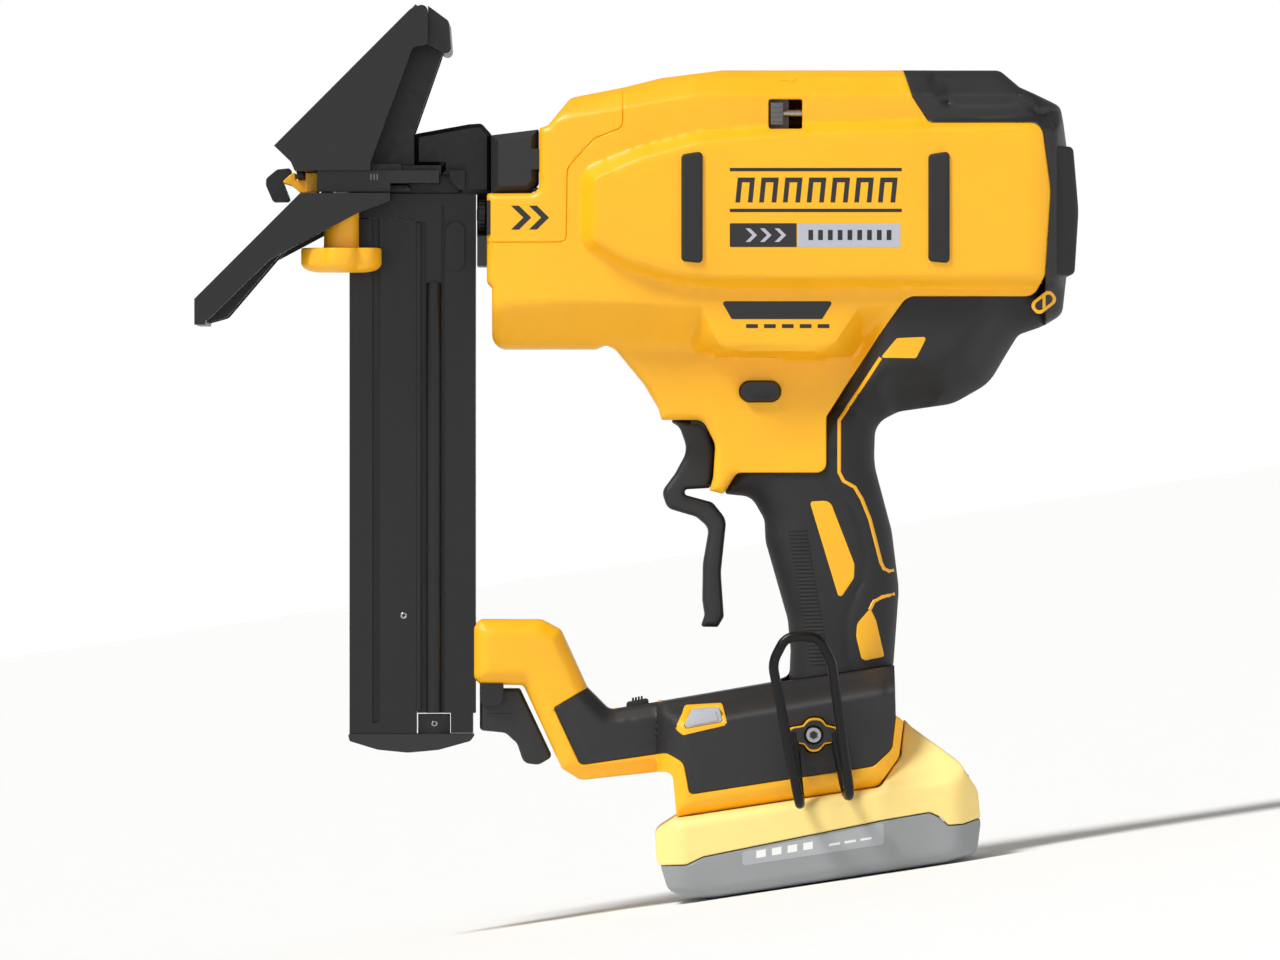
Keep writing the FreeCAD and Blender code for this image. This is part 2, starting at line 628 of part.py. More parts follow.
def contact_pointer():
    """Yellow carrier of the prongs, with the bar that runs back under the plate."""
    side = [(30.3, 257.8), (30.3, 259.2), (33.5, 261.6), (42.8, 261.6), (42.8, 254.4)]
    side += [(36, 254.4, 1)]
    solid = prism(side, -18, 18)
    solid = solid.cut(box(20, 50, -4.6, 4.6, 250, 259.4))
    solid = solid.cut(box(20, 37.4, 11.4, 20, 250, 263))
    solid = solid.cut(box(20, 37.4, -20, -11.4, 250, 263))
    bar = box(42.8, 76, -17.6, -10.4, 254.6, 257.2)
    solid = solid.fuse(bar).removeSplitter()
    return solid.cut(contact_hook())


def depth_wheel():
    """Ribbed thumbwheel of the depth adjustment."""
    wheel = rod_x(*THUMB, 6.4, 100.0, 103.2)
    for i in range(24):
        turn = math.radians(15 * i)
        y = THUMB[0] + 6.5 * math.cos(turn)
        z = THUMB[1] + 6.5 * math.sin(turn)
        wheel = wheel.cut(rod_x(y, z, 0.45, 99, 104))
    return wheel.cut(rod_x(*THUMB, 2.05, 99, 105))


def wheel_bracket():
    """Dark block on the front of the housing that carries the thumbwheel screw."""
    block = box(100.0, 103.5, -24, 24, 228, 238.8)
    block = block.fuse(box(99.7, 103.5, 0, 24, 238.8, 253.9)).removeSplitter()
    post = rod_x(*THUMB, 2.0, 99.7, 103.5)
    plate = box(103.5, 105.3, -27.2, 27.2, 239.0, 251.4)
    return Part.makeCompound([block, post.fuse(plate).removeSplitter()])


# ---------------------------------------------------------------- magazine

def magazine_body():
    """Fixed rear half of the magazine, with its long rounded rib."""
    solid = box(MAG_SPLIT + 0.3, MAG_REAR, -MAG_HALF, MAG_HALF, 67.5, 254.1)
    solid = solid.fuse(box(MAG_FRONT, MAG_SPLIT + 0.3, -MAG_HALF, MAG_HALF, MAG_TOP + 0.3, 254.1))
    solid = solid.cut(box(58, 96.6, -MAG_SLOT, MAG_SLOT, 60, 252.8))
    solid = solid.cut(box(MAG_SPLIT - 1, 81.5, -20, -8.5, 60, 244))
    for y0, y1 in ((-MAG_HALF, -MAG_SLOT), (MAG_SLOT, MAG_HALF)):
        solid = solid.fuse(box(90.4, MAG_REAR - 1.0, y0, y1, 60.3, 67.6))
    solid = solid.cut(box(87.1, 88.2, -20, -9.5, 60, 250))
    solid = solid.cut(box(87.1, 88.2, 9.5, 20, 60, 250))
    ribs = []
    for side in (-1, 1):
        ribs.append(rod_z(84.3, side * 10.2, 2.8, 67.5, 222))
        boss = [(88.6, 226.5, 3), (95.4, 226.5, 3), (95.4, 244, 3), (88.6, 244, 3)]
        ribs.append(prism(boss, side * MAG_HALF, side * (MAG_HALF + 1.6)))
    return join([solid] + ribs)


def magazine_bracket():
    """Light plate that ties the foot of the magazine to the arm."""
    return box(MAG_REAR, 100.6, -10, 10, 81, 98)


def magazine_slide():
    """Front half that draws down for loading."""
    solid = box(MAG_FRONT, MAG_SPLIT, -MAG_HALF, MAG_HALF, MAG_FOOT, MAG_TOP)
    solid = solid.cut(box(58, 90, -MAG_SLOT, MAG_SLOT, 50, 260))
    for side in (-1, 1):
        low = min(side * 9.2, side * 20)
        solid = solid.cut(box(62.3, 64.7, low, low + 10.8, MAG_FOOT + 4, 260))
    lip = box(MAG_SPLIT - 0.6, 79.6, -10.9, -8.9, 68.4, 243.6)
    return solid.fuse(lip).removeSplitter()


def magazine_cap():
    """Rounded foot of the magazine with its catch."""
    side = [(53.5, 59.9, 0.5), (99.2, 59.9, 0.5), (97.5, 57.4, 2), (86, 54.2, 12)]
    side += [(75, 53.2, 14), (64, 54.3, 12), (54, 57.4, 1)]
    solid = prism(side, -MAG_HALF - 1, MAG_HALF + 1)
    tenon = box(58.4, 77.6, -MAG_SLOT + 0.2, MAG_SLOT - 0.2, 59.5, 64)
    catch = box(78.6, 90, -8, 8, 59.9, 67.0)
    return join([solid, tenon, catch])


def staple_pusher():
    """Spring-loaded block that lifts the staples."""
    solid = box(59, 95.8, -MAG_SLOT + 0.3, MAG_SLOT - 0.3, 196, 215.9)
    return solid.cut(rod_y(68, 206, 6, -10, 10))


def pusher_coil():
    """Rolled strip spring in the pocket of the pusher."""
    return rod_y(68, 206, 5.9, -4.4, 4.4).cut(rod_y(68, 206, 2.0, -10, 10))


def staple_strip():
    """Glued strip of narrow-crown staples waiting above the pusher."""
    solid = box(60.2, 95.6, -3.3, 3.3, 216.2, 252.6)
    return solid.cut(box(50, 94.2, -2.2, 2.2, 210, 260))


def magazine_latch():
    """Lever that holds the slide shut, hinged under the arm."""
    side = [(100.6, 76.4, 3), (100.6, 61.2, 1.5), (110, 60.2, 3), (114.2, 56.5, 3)]
    side += [(116.5, 49.2, 3), (122, 48.6, 3), (127.2, 51.5, 1.5), (115.4, 76.4, 1)]
    solid = both(side, 9.5, 1.5)
    return solid.cut(rod_y(*LATCH_PIN, 1.55, -20, 20))


def latch_pin():
    """Hinge pin of the latch in its two ears."""
    pin = rod_y(*LATCH_PIN, PIN_R, -12.8, 12.8)
    ears = []
    for side in (-1, 1):
        ear = [(100.8, 78.0), (100.8, 70, 3), (109.2, 70, 3), (109.2, 78.0)]
        ears.append(prism(ear, side * 9.9, side * 12.8))
    return join([pin] + ears)


# ---------------------------------------------------------------- drive

def driver():
    """Blade, carriage and the wings that ride on the guide rods."""
    thick = BLADE_THICK / 2
    blade = box(72, 146, -BLADE_HALF, BLADE_HALF, DRIVE_Z - thick, DRIVE_Z + thick)
    carriage = box(145, 205, -6, 6, 250.9, 257.4)
    wings = box(172, 184, -20.5, 20.5, 251.2, 258.4).cut(box(160, 190, -5, 5, 257.4, 260))
    solid = join([blade, carriage, wings])
    for y in (-ROD_Y, ROD_Y):
        solid = solid.cut(rod_x(y, ROD_Z, ROD_R + 0.3, 160, 190))
    return solid


def guide_rods():
    """Two rods with their end blocks."""
    parts = []
    for y in (-ROD_Y, ROD_Y):
        parts.append(rod_x(y, ROD_Z, ROD_R, 122.5, 236))
        parts.append(box(122.5, 127.5, y - 4.5, y + 4.5, 250.4, 259))
    parts.append(box(236, 240, -24, 24, 246, 262))
    return join(parts)


def flywheel():
    """Outer rotor with its shaft, turning in the two bearings."""
    ring = rod_y(WHEEL_X, WHEEL_Z, WHEEL_R, -9, 9)
    ring = ring.cut(rod_y(WHEEL_X, WHEEL_Z, 16.4, -7, 20))
    shaft = rod_y(WHEEL_X, WHEEL_Z, SHAFT_R, -24, 24)
    return ring.fuse(shaft).removeSplitter()


def motor_stator():
    """Wound core inside the flywheel, on its fixing disc."""
    solid = rod_y(WHEEL_X, WHEEL_Z, 15.9, -6.5, 14)
    for i in range(9):
        turn = math.radians(40 * i)
        x = WHEEL_X + 11.5 * math.cos(turn)
        z = WHEEL_Z + 11.5 * math.sin(turn)
        solid = solid.cut(rod_y(x, z, 2.4, -10, 20))
    solid = solid.fuse(rod_y(WHEEL_X, WHEEL_Z, 23.6, 14, 17)).removeSplitter()
    return solid.cut(rod_y(WHEEL_X, WHEEL_Z, 3.6, -20, 20))


def motor_bearings():
    """Bearings at both ends of the flywheel shaft."""
    rings = []
    for y0, y1 in ((-23.5, -17.5), (17.5, 23.5)):
        ring = rod_y(WHEEL_X, WHEEL_Z, BEARING_R, y0, y1)
        rings.append(ring.cut(rod_y(WHEEL_X, WHEEL_Z, 3.03, y0 - 1, y1 + 1)))
    return Part.makeCompound(rings)


def motor_cradle():
    """Cast frame that holds the bearings between the housing halves."""
    plates = []
    for y0, y1 in ((-28, -23.5), (23.5, 28)):
        corners = [(176, 211, 6), (227, 211, 6), (232, 247, 6), (172, 247, 6)]
        plates.append(prism(corners, y0, y1))
    plates.append(box(218, 226, -23.5, 23.5, 211.2, 215))
    cups = []
    for y0, y1 in ((-23.5, -17.8), (17.8, 23.5)):
        cups.append(rod_y(WHEEL_X, WHEEL_Z, 11, y0, y1))
    solid = join(plates + cups)
    solid = solid.cut(rod_y(WHEEL_X, WHEEL_Z, BEARING_R, -23.5, 23.5))
    solid = solid.cut(rod_y(WHEEL_X, WHEEL_Z, 3.6, -40, 40))
    return solid.cut(rod_y(WHEEL_X, WHEEL_Z, 24.2, 13.8, 17.3))


def pinch_roller():
    """Roller that pinches the driver against the flywheel."""
    ring = rod_y(WHEEL_X, ROLLER_Z, ROLLER_R, -5, 5)
    return ring.cut(rod_y(WHEEL_X, ROLLER_Z, 2.55, -9, 9))


def activation_arm():
    """Swing arm that presses the roller on the driver."""
    cheek = [(195, 266.6, 4), (203, 260.5, 4), (246, 270, 4), (246, 280, 4), (203, 274, 4)]
    cheeks = [prism(cheek, s * 5.4, s * 9) for s in (-1, 1)]
    bridge = box(222, 230, -9, 9, 268, 272.4)
    pin = rod_y(WHEEL_X, ROLLER_Z, 2.5, -9, 9)
    solid = join(cheeks + [bridge, pin])
    return solid.cut(rod_y(*PIVOT, 2.05, -20, 20))


def arm_pivot():
    """Pin and posts of the swing arm."""
    pin = rod_y(*PIVOT, 2.0, -14, 14)
    posts = []
    for side in (-1, 1):
        post = [(234, 262), (234, 278, 4), (246, 278, 4), (246, 262)]
        posts.append(prism(post, side * 9.4, side * 14))
    return join([pin] + posts)


def solenoid():
    """Solenoid can and its plunger."""
    can = rod_x(0, 262, 11.0, 254, 286)
    plunger = rod_x(0, 262, 3.4, 249, 254)
    return can.fuse(plunger).removeSplitter()


def drive_bumpers():
    """Rubber stops at the front of the driver travel."""
    blocks = []
    for y in (-ROD_Y, ROD_Y):
        block = box(127.5, 133.4, y - 4, y + 4, 250.8, 258.8)
        blocks.append(block.cut(rod_x(y, ROD_Z, ROD_R, 120, 140)))
    return Part.makeCompound(blocks)


# ---------------------------------------------------------------- electrics and base

LENS = [(173.4, 61.6, 1), (176.6, 69.3, 1), (187.0, 70.2, 1), (188.4, 64.4, 1)]


def led_lens():
    """Clear lens of the work lamp in the side of the base."""
    return prism(LENS, -BASE_HALF + 0.6, -BASE_HALF + 5)


def control_board():
    """Circuit board above the battery contacts."""
    return tilted_box(183, 238, -24, 24, 17, 19.4)


def terminal_block():
    """Contact block with its four blades."""
    body = tilted_box(186, 206, -17, 17, 12.2, 17)
    blades = [tilted_box(188, 204, y - 0.4, y + 0.4, 6.5, 12.2) for y in BLADE_PLACES]
    return join([body] + blades)


HOOK_POCKET = [(210.6, 57.2, 2), (210.6, 62.8, 2), (218, 65.5, 3), (224, 65.5, 3), (230.4, 62.8, 2)]
HOOK_POCKET += [(230.4, 57.2, 2), (224, 54.5, 3), (218, 54.5, 3)]


def hook_bracket():
    """Clamp plate of the belt hook, let into the side of the base."""
    plate = prism(inset(HOOK_POCKET, 0.3), HOOK_FACE, -BASE_HALF + 4.0)
    plate = plate.cut(rod_y(*HOOK_SCREW, 3.2, -60, HOOK_FACE + 2.2))
    plate = plate.cut(rod_y(*HOOK_SCREW, 1.75, -60, -20))
    return plate.cut(hook_wire())


def hook_wire():
    """Bent wire of the belt hook."""
    near = HOOK_NEAR_Y
    far = HOOK_FAR_Y
    points = [vec(213.2, 61, near), vec(215.6, 36, near), vec(215.4, 35.2, far)]
    points += [vec(205.6, 86, far), vec(210.5, 95.4, far), vec(222, 95.4, far), vec(226.8, 86, far)]
    points += [vec(233.4, 38.5, far), vec(232.2, 38.5, near), vec(227.8, 61, near)]
    radii = [0, 5, 5, 10, 6, 6, 10, 5, 5, 0]
    path = track(points, radii, False)
    heading = points[1] - points[0]
    ring = Part.Wire(Part.makeCircle(HOOK_WIRE_R, points[0], heading))
    pipe = Part.BRepOffsetAPI.MakePipeShell(path)
    pipe.setFrenetMode(False)
    pipe.add(ring)
    pipe.build()
    pipe.makeSolid()
    return pipe.shape()


def hook_screw():
    """Socket-head screw of the belt hook."""
    head = rod_y(*HOOK_SCREW, 3.15, HOOK_FACE + 0.2, HOOK_FACE + 2.2)
    shank = rod_y(*HOOK_SCREW, 1.7, HOOK_FACE + 2.2, -BASE_HALF + 4.0)
    screw = head.fuse(shank).removeSplitter()
    return screw.cut(rod_y(*HOOK_SCREW, 1.4, -60, HOOK_FACE + 1.4))


def housing_screws():
    """Ten screws, driven from the far side."""
    screws = []
    for x, z in screw_places():
        head = rod_y(x, z, SCREW_HEAD_R, SCREW_SEAT, SCREW_SEAT + 2.4)
        screw = head.fuse(rod_y(x, z, SCREW_R, -6, SCREW_SEAT)).removeSplitter()
        screws.append(screw.cut(rod_y(x, z, 1.5, SCREW_SEAT + 1.2, SCREW_SEAT + 5)))
    return Part.makeCompound(screws)


# ---------------------------------------------------------------- battery

def button_corners(gap, depth, rise):
    """Corners of the sloping release button, or of its pocket when gap is given."""
    length = math.dist(BUTTON_TOP, BUTTON_LOW)
    u = ((BUTTON_LOW[0] - BUTTON_TOP[0]) / length, (BUTTON_LOW[1] - BUTTON_TOP[1]) / length)
    n = (-u[1], u[0])
    ends = [(BUTTON_TOP, -gap, rise), (BUTTON_LOW, gap, rise)]
    ends += [(BUTTON_LOW, gap, -depth), (BUTTON_TOP, -gap, -depth)]
    corners = []
    for end, along, out in ends:
        x = end[0] + u[0] * along + n[0] * out
        z = end[1] + u[1] * along + n[1] * out
        corners.append((x, z))
    return corners


def pack_solid():
    """Outside of the battery with its rail tower."""
    solid = both(PACK, PACK_HALF, 4.0)
    tower = tilted_box(180, 243, -25, 25, -2, 11.6)
    rails = tilted_box(180, 243, -29, 29, -2, 2.8)
    tower = tower.cut(tilted_box(180, 243, 22.6, 26, 3.0, 7.5))
    tower = tower.cut(tilted_box(180, 243, -26, -22.6, 3.0, 7.5))
    return join([solid, tower, rails])


def pack_hollow():
    """Room for the cells."""
    low = [(169, 27.2), (169, 9, 4), (180, 6.0), (264, 18.9), (275, 24, 3), (275, 35, 4), (262, 44)]
    low += [(248, 40), (243, 38.6)]
    return prism(low, -PACK_HALF + 3, PACK_HALF - 3)


def battery_upper_case():
    """Upper case with the rails and the blade slots."""
    solid = pack_solid().cut(prism(PACK_SPLIT, -60, 60)).cut(pack_hollow())
    solid = solid.cut(prism(button_corners(0.35, 6.6, 14), -17.3, 17.3))
    for y in BLADE_PLACES:
        solid = solid.cut(tilted_box(179, 206, y - 1.0, y + 1.0, 5.5, 13))
    return sorted(solid.Solids, key=lambda s: s.Volume)[-1]


def battery_lower_case():
    """Lower case of the battery."""
    solid = pack_solid().common(prism(PACK_SPLIT, -60, 60)).cut(pack_hollow())
    return sorted(solid.Solids, key=lambda s: s.Volume)[-1]


def battery_button():
    """Sloping release button at the back of the battery."""
    return prism(button_corners(0, 4.0, 0), -17, 17)


def battery_cells():
    """Five cells lying across the pack."""
    cells = []
    for i in range(CELL_COUNT):
        along = CELL_STEP * i
        z = 16.9 + along * math.tan(math.radians(TILT))
        cells.append(rod_y(181.0 + along, z, CELL_R, -32.5, 32.5))
    return Part.makeCompound(cells)


def main():
    os.makedirs("parts", exist_ok=True)
    save("left_housing", housing(-1))
    save("right_housing", housing(1))
    save("nose_cover", nose_cover())
    save("rear_cover", rear_cover())
    save("rear_bumper", rear_bumper())
    save("side_bumper_strips", side_strips())
    save("left_grip_overmould", grip_overmould(-1))
    save("right_grip_overmould", grip_overmould(1))
    near_panel = panel_skin(-1).cut(prism(LENS, -60, 0))
    save("left_base_panel", near_panel.cut(prism(HOOK_POCKET, -60, 0)))
    save("right_base_panel", panel_skin(1))
    save("trigger", trigger())
    save("trigger_pin", trigger_pin())
    save("trigger_switch", trigger_switch())
    save("lock_off_button", button_bar(0))
    save("stall_release_slider", stall_slider())
    save("stall_release_spring", stall_spring())
    save("mode_selector", mode_slider())
    save("nose_plate", nose_plate())
    save("nose_body", nose_body())
    save("nose_bridge", nose_bridge())
    save("upper_foot", upper_foot())
    save("board_shoe", board_shoe())
    save("clamp_knob", clamp_knob())
    save("clamp_stud", stud(KNOB_Y))
    save("shoe_guide_screw", guide_screw())
    save("contact_prongs", contact_hook())
    save("contact_carrier", contact_pointer())
    save("depth_wheel", depth_wheel())
    save("depth_wheel_bracket", wheel_bracket())
    save("magazine_body", magazine_body())
    save("magazine_bracket", magazine_bracket())
    save("magazine_slide", magazine_slide())
    save("magazine_cap", magazine_cap())
    save("staple_pusher", staple_pusher())
    save("pusher_coil_spring", pusher_coil())
    save("staple_strip", staple_strip())
    save("magazine_latch", magazine_latch())
    save("latch_pin", latch_pin())
    save("driver", driver())
    save("driver_guide_rods", guide_rods())
    save("driver_bumpers", drive_bumpers())
    save("flywheel", flywheel())
    save("motor_stator", motor_stator())
    save("motor_bearings", motor_bearings())
    save("motor_cradle", motor_cradle())
    save("pinch_roller", pinch_roller())
    save("activation_arm", activation_arm())
    save("arm_pivot", arm_pivot())
    save("solenoid", solenoid())
    save("led_lens", led_lens())
    save("control_board", control_board())
    save("terminal_block", terminal_block())
    save("belt_hook", hook_wire())
    save("belt_hook_bracket", hook_bracket())
    save("belt_hook_screw", hook_screw())
    save("housing_screws", housing_screws())
    save("battery_upper_case", battery_upper_case())
    save("battery_lower_case", battery_lower_case())
    save("battery_release_button", battery_button())
    save("battery_cells", battery_cells())


main()
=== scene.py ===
import math
import bpy
import bmesh
import numpy as np
from mathutils import Matrix, Vector, geometry


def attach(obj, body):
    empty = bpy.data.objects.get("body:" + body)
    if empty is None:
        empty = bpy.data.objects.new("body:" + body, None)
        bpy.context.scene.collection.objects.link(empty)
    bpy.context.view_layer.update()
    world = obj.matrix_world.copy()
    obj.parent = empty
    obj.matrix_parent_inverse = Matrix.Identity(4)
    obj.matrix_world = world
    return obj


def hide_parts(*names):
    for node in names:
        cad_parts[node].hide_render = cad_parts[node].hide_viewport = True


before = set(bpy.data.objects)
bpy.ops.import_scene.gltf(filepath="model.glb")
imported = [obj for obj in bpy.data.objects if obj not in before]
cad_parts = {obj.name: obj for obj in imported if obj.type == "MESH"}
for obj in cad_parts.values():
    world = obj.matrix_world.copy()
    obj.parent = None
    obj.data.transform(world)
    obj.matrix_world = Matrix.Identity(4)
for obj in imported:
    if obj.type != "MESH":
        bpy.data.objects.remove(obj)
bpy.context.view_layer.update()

# ------------------------------------------------------------------ frame
# Shapes are drawn in the tool's own frame, in millimetres: X rearward, Z up
# along the magazine, near side at negative Y. to_row() stands them on the pack.

TILT = math.radians(8.6)
ORIGIN = (223.0, 7.4)
COS, SIN = math.cos(TILT), math.sin(TILT)
STEP = 1.25
SHELL_WALL = 2.5
BODY_HALF = 33.0
BARREL_HALF = 39.6
NECK_HALF = 18.2
GRIP_HALF = 17.5
TAIL_HALF = 31.0
ARM_HALF = 16.0
BASE_HALF = 35.0
PACK_HALF = 37.5
SLOT_HALF = 8.6
SCREW_CUP = 3.9
SCREW_MARGIN = 5.5
WHEEL_AT = (-8, 246.5)
KNOB_AT = (51.4, -27.5)
HOOK_AT = (220.5, 60)
BUTTON_AT = (201.5, 183.0)
HOOK_WIRE_RADIUS = 1.78
BLADE_PLACES = (-11, -4, 4, 11)
SHARP = math.radians(38.0)


def to_row(points):
    """Points of the tool frame in millimetres, stood on the pack and in metres."""
    p = np.asarray(points, float).reshape(-1, 3)
    dx, dz = p[:, 0] - ORIGIN[0], p[:, 2] - ORIGIN[1]
    row = np.stack([dx * COS + dz * SIN, p[:, 1], -dx * SIN + dz * COS], 1)
    return row / 1000.0


def rail_z(x):
    """Underside of the base, along the battery rail, for a number or an array."""
    return 30.6 + (x - 171.5) * math.tan(TILT)


# ------------------------------------------------------------------ outlines

SEAM = [(152.4, 292.0), (152.2, 277.5, 3), (142, 273.5, 6), (132.4, 263, 5), (132.0, 236.4, 2)]
SEAM += [(103.5, 236.4)]
COVER_SEAM = [(252.8, 298.2), (256.0, 288.5, 4), (262.0, 279.2, 2), (302.2, 279.2, 5)]
COVER_SEAM += [(305.5, 255.0, 30), (303.5, 225.0, 2)]
TOP = SEAM[::-1][:-1] + [(152.4, 292.0), (166, 295.4, 10), (188, 298.2, 10)] + COVER_SEAM
TOP += [(299.5, 217.0, 5), (254, 217.0, 6), (244, 203, 4), (225.3, 174, 3), (225.3, 153.8, 3.5)]
TOP += [(193.2, 153.8, 2.5), (188.4, 146.2, 1), (183.4, 147.4, 0.6), (184.7, 152, 8)]
TOP += [(185.5, 164, 7), (181.0, 172.8, 4), (166.2, 172.8, 1), (165, 177, 6), (160, 185.4, 6)]
TOP += [(149.5, 198.2, 4), (146.2, 199.8, 1.5), (142.5, 198.2, 1.5), (105.3, 198.2, 5)]
TOP += [(105.3, 220, 0.8), (103.5, 222, 0.8)]

NOSE_COVER = [(103.5, 236.4, 0.5), (103.5, 254.0, 1), (122.3, 254.0, 3.3), (122.3, 277.2, 0.8)]
NOSE_COVER += [(125.5, 278.4, 1), (133.5, 288.3, 4), (152.4, 292.0)] + SEAM[1:-1]

ALL_BODY = [(103.5, 254.0, 1), (122.3, 254.0, 3.3), (122.3, 277.2, 0.8), (125.5, 278.4, 1)]
ALL_BODY += [(133.5, 288.3, 4), (152.4, 292.0, 10), (166, 295.4, 10), (188, 298.2, 10)]
ALL_BODY += [(287.5, 298.2, 4), (294.5, 292.0, 2), (309.3, 285.2, 4), (311.5, 270, 8)]
ALL_BODY += [(311.5, 222, 3), (310.0, 210.5, 5), (300.0, 205.3, 6), (240, 196), (146, 198.2)]
ALL_BODY += [(105.3, 198.2, 5), (105.3, 220, 0.8), (103.5, 222, 0.8)]

PLATEAU = [(102, 279), (126, 279), (152, 284.2, 10), (178, 288.8, 10), (192, 289.3), (299, 289)]
PLATEAU += [(301.5, 286), (303.5, 205), (250, 214), (173, 213.5, 10), (131, 216, 10)]
PLATEAU += [(111, 217.6, 6), (104, 221.5, 2), (96, 222)]

CREST = [(141.3, 259.5, 4), (141.3, 237, 4), (154, 229.7, 10), (170, 225.4, 12), (186, 223.6, 20)]
CREST += [(308, 223.6), (308, 277.8), (215, 275.2, 40), (180, 272.3, 30), (158, 266.6, 16)]

BULGE = [(178.5, 224), (181.2, 212, 4), (184.2, 204, 6), (189.5, 197.6, 5), (196, 196.3, 3)]
BULGE += [(222, 196.3, 4), (228.4, 200.6, 4), (236, 212, 4), (240, 224)]

NECK = [(140, 212), (146.2, 199.6, 1.5), (149.5, 198.2, 4), (160.0, 185.4, 6), (165, 177, 6)]
NECK += [(166.2, 172.8, 1), (181.0, 172.8, 4), (185.5, 164, 7), (184.7, 152, 8)]
NECK += [(183.4, 147.4, 0.6), (188.4, 146.2, 1), (193.2, 153.8, 2.5)]
NECK += [(193.2, 150), (232, 150), (232, 174, 3), (250, 203), (250, 212)]

GRIP_EDGE = [(193.2, 153.8, 2.5), (188.4, 146.2, 1), (198.5, 145.2, 6), (203.2, 137, 6)]
GRIP_EDGE += [(203.6, 129, 12), (211.6, 101, 14), (212.6, 90, 8), (212.2, 81, 3), (206.5, 78.4, 1)]
GRIP_EDGE += [(249.6, 84.6, 1), (251.6, 112, 30), (249, 133, 30), (242.6, 157, 30), (243.0, 171.5, 9)]
GRIP_EDGE += [(251.5, 175.8, 10), (271, 178.6, 16), (284, 186.0, 16), (290.8, 197.5, 12)]
GRIP_EDGE += [(294.5, 203.4, 4), (302, 206, 4)]
GRIP = GRIP_EDGE + [(303.7, 206.8), (303.5, 225.0, 2), (299.5, 217.0, 5), (254, 217.0, 6)]
GRIP += [(244, 203, 4), (225.3, 174, 3), (225.3, 153.8, 3.5)]

HANDLE = [(192.5, 158), (188.4, 146.2, 1), (198.5, 145.2, 6), (203.2, 137, 6), (203.6, 129, 12)]
HANDLE += [(211.6, 101, 14), (212.6, 90, 8), (212.2, 81, 3), (211, 68), (249.4, 68)]
HANDLE += [(249.6, 85, 4), (251.6, 112, 30), (249, 133, 20), (242.6, 157, 20), (243.4, 171, 8)]
HANDLE += [(250, 174.6, 4), (250, 196), (215, 170)]

TAIL = [(226, 177), (236, 171.6, 4), (251.5, 175.6, 10), (271, 178.4, 16), (284, 185.8, 16)]
TAIL += [(290.8, 197.3, 12), (294.5, 203.2, 4), (302, 206, 4), (310, 211, 4), (312, 250), (240, 250)]

REAR = [(252.8, 298.2), (287.5, 298.2, 4), (294.5, 292.0, 2), (309.3, 285.2, 4), (311.5, 270.0, 8)]
REAR += [(311.3, 224, 3), (309.8, 210.5, 5), (303.7, 206.8), (303.5, 225.0)]
REAR += COVER_SEAM[::-1][1:-1]

BUMPER = [(303.4, 270.6, 1.2), (313.5, 270.6, 2), (315.5, 247.5, 40), (314.0, 224.5, 2)]
BUMPER += [(303.4, 224.5, 1.2), (306.2, 246, 30)]

ARM = [(98.6, 80, 2.5), (98.6, 98.5, 2.5), (101, 101.1, 2), (123, 101.1, 5), (130, 97.4, 3)]
ARM += [(139.5, 76.6, 2), (147.5, 68.6, 3), (168, 71.8), (176, 73.2), (176, 30), (171.4, 31)]
ARM += [(170, 46.9, 3), (137, 43.3, 5), (130.3, 47.5, 2), (116.5, 77.5, 2), (101, 77.7, 2)]

BASE = [(166, 30), (171.5, 30.6, 0.5), (243.6, 41.5, 3), (251.2, 52, 5), (252.8, 64.9, 1)]
BASE += [(249.8, 66.6, 1), (249.6, 90), (206, 90), (166, 76)]

LOW = [(98.6, 80, 2.5), (98.6, 98.5, 2.5), (101, 101.1, 2), (123, 101.1, 5), (130, 97.4, 3)]
LOW += [(139.5, 76.6), (127.4, 69.4, 1), (137, 48.8, 2), (168, 53.3, 3), (174, 50, 4)]
LOW += [(176.2, 38.6, 1.5), (242, 48.7, 4), (248.6, 55, 3), (250.0, 66.5), (252.8, 64.9, 1)]
LOW += [(251.2, 52, 5), (243.6, 41.5, 3), (171.5, 30.6, 0.5), (170, 46.9, 3), (137, 43.3, 5)]
LOW += [(130.3, 47.5, 2), (116.5, 77.5, 2), (101, 77.7, 2)]

PANEL = [(139.5, 76.6), (127.4, 69.4, 1), (137, 48.8, 2), (168, 53.3, 3), (174, 50, 4)]
PANEL += [(176.2, 38.6, 1.5), (242, 48.7, 4), (248.6, 55, 3), (250.0, 66.5), (249.6, 84.6)]
PANEL += [(206.5, 78.4, 1), (168, 71.8), (147.5, 68.6, 3)]

INLAY = [(219.3, 143.5, 1), (226.6, 143.8, 3), (235.4, 121, 4), (235.2, 116, 3)]
INLAY += [(230.0, 108.2, 1)]
ACCENT = [(244.6, 195.0, 0.5), (250.4, 202.0, 1), (261.2, 202.5, 0.8), (257.3, 194.8, 1)]
LOWER_INLAY = [(241.1, 105.2, 0.8), (236.3, 99.6, 3), (236.0, 95.0, 4), (237.9, 87.2, 1)]
LOWER_INLAY += [(239.3, 86.4, 0.6), (246.2, 87.8, 0.8), (243.2, 100.7, 6)]
LENS = [(171.6, 62.4, 1), (175.2, 69.8, 1), (187.6, 70.6, 1), (189.0, 63.9, 1), (174, 60.6, 1)]
POCKET = [(210.8, 57.6, 2), (210.8, 62.6, 2), (216.6, 63.6, 1), (218.6, 66.4, 3), (223.4, 66.4, 3)]
POCKET += [(225.2, 63.8, 1), (230.2, 62.6, 2), (230.2, 57.6, 2), (224.6, 56.6, 1), (222.5, 53.8, 3)]
POCKET += [(218.8, 53.6, 3), (217, 56.4, 1)]

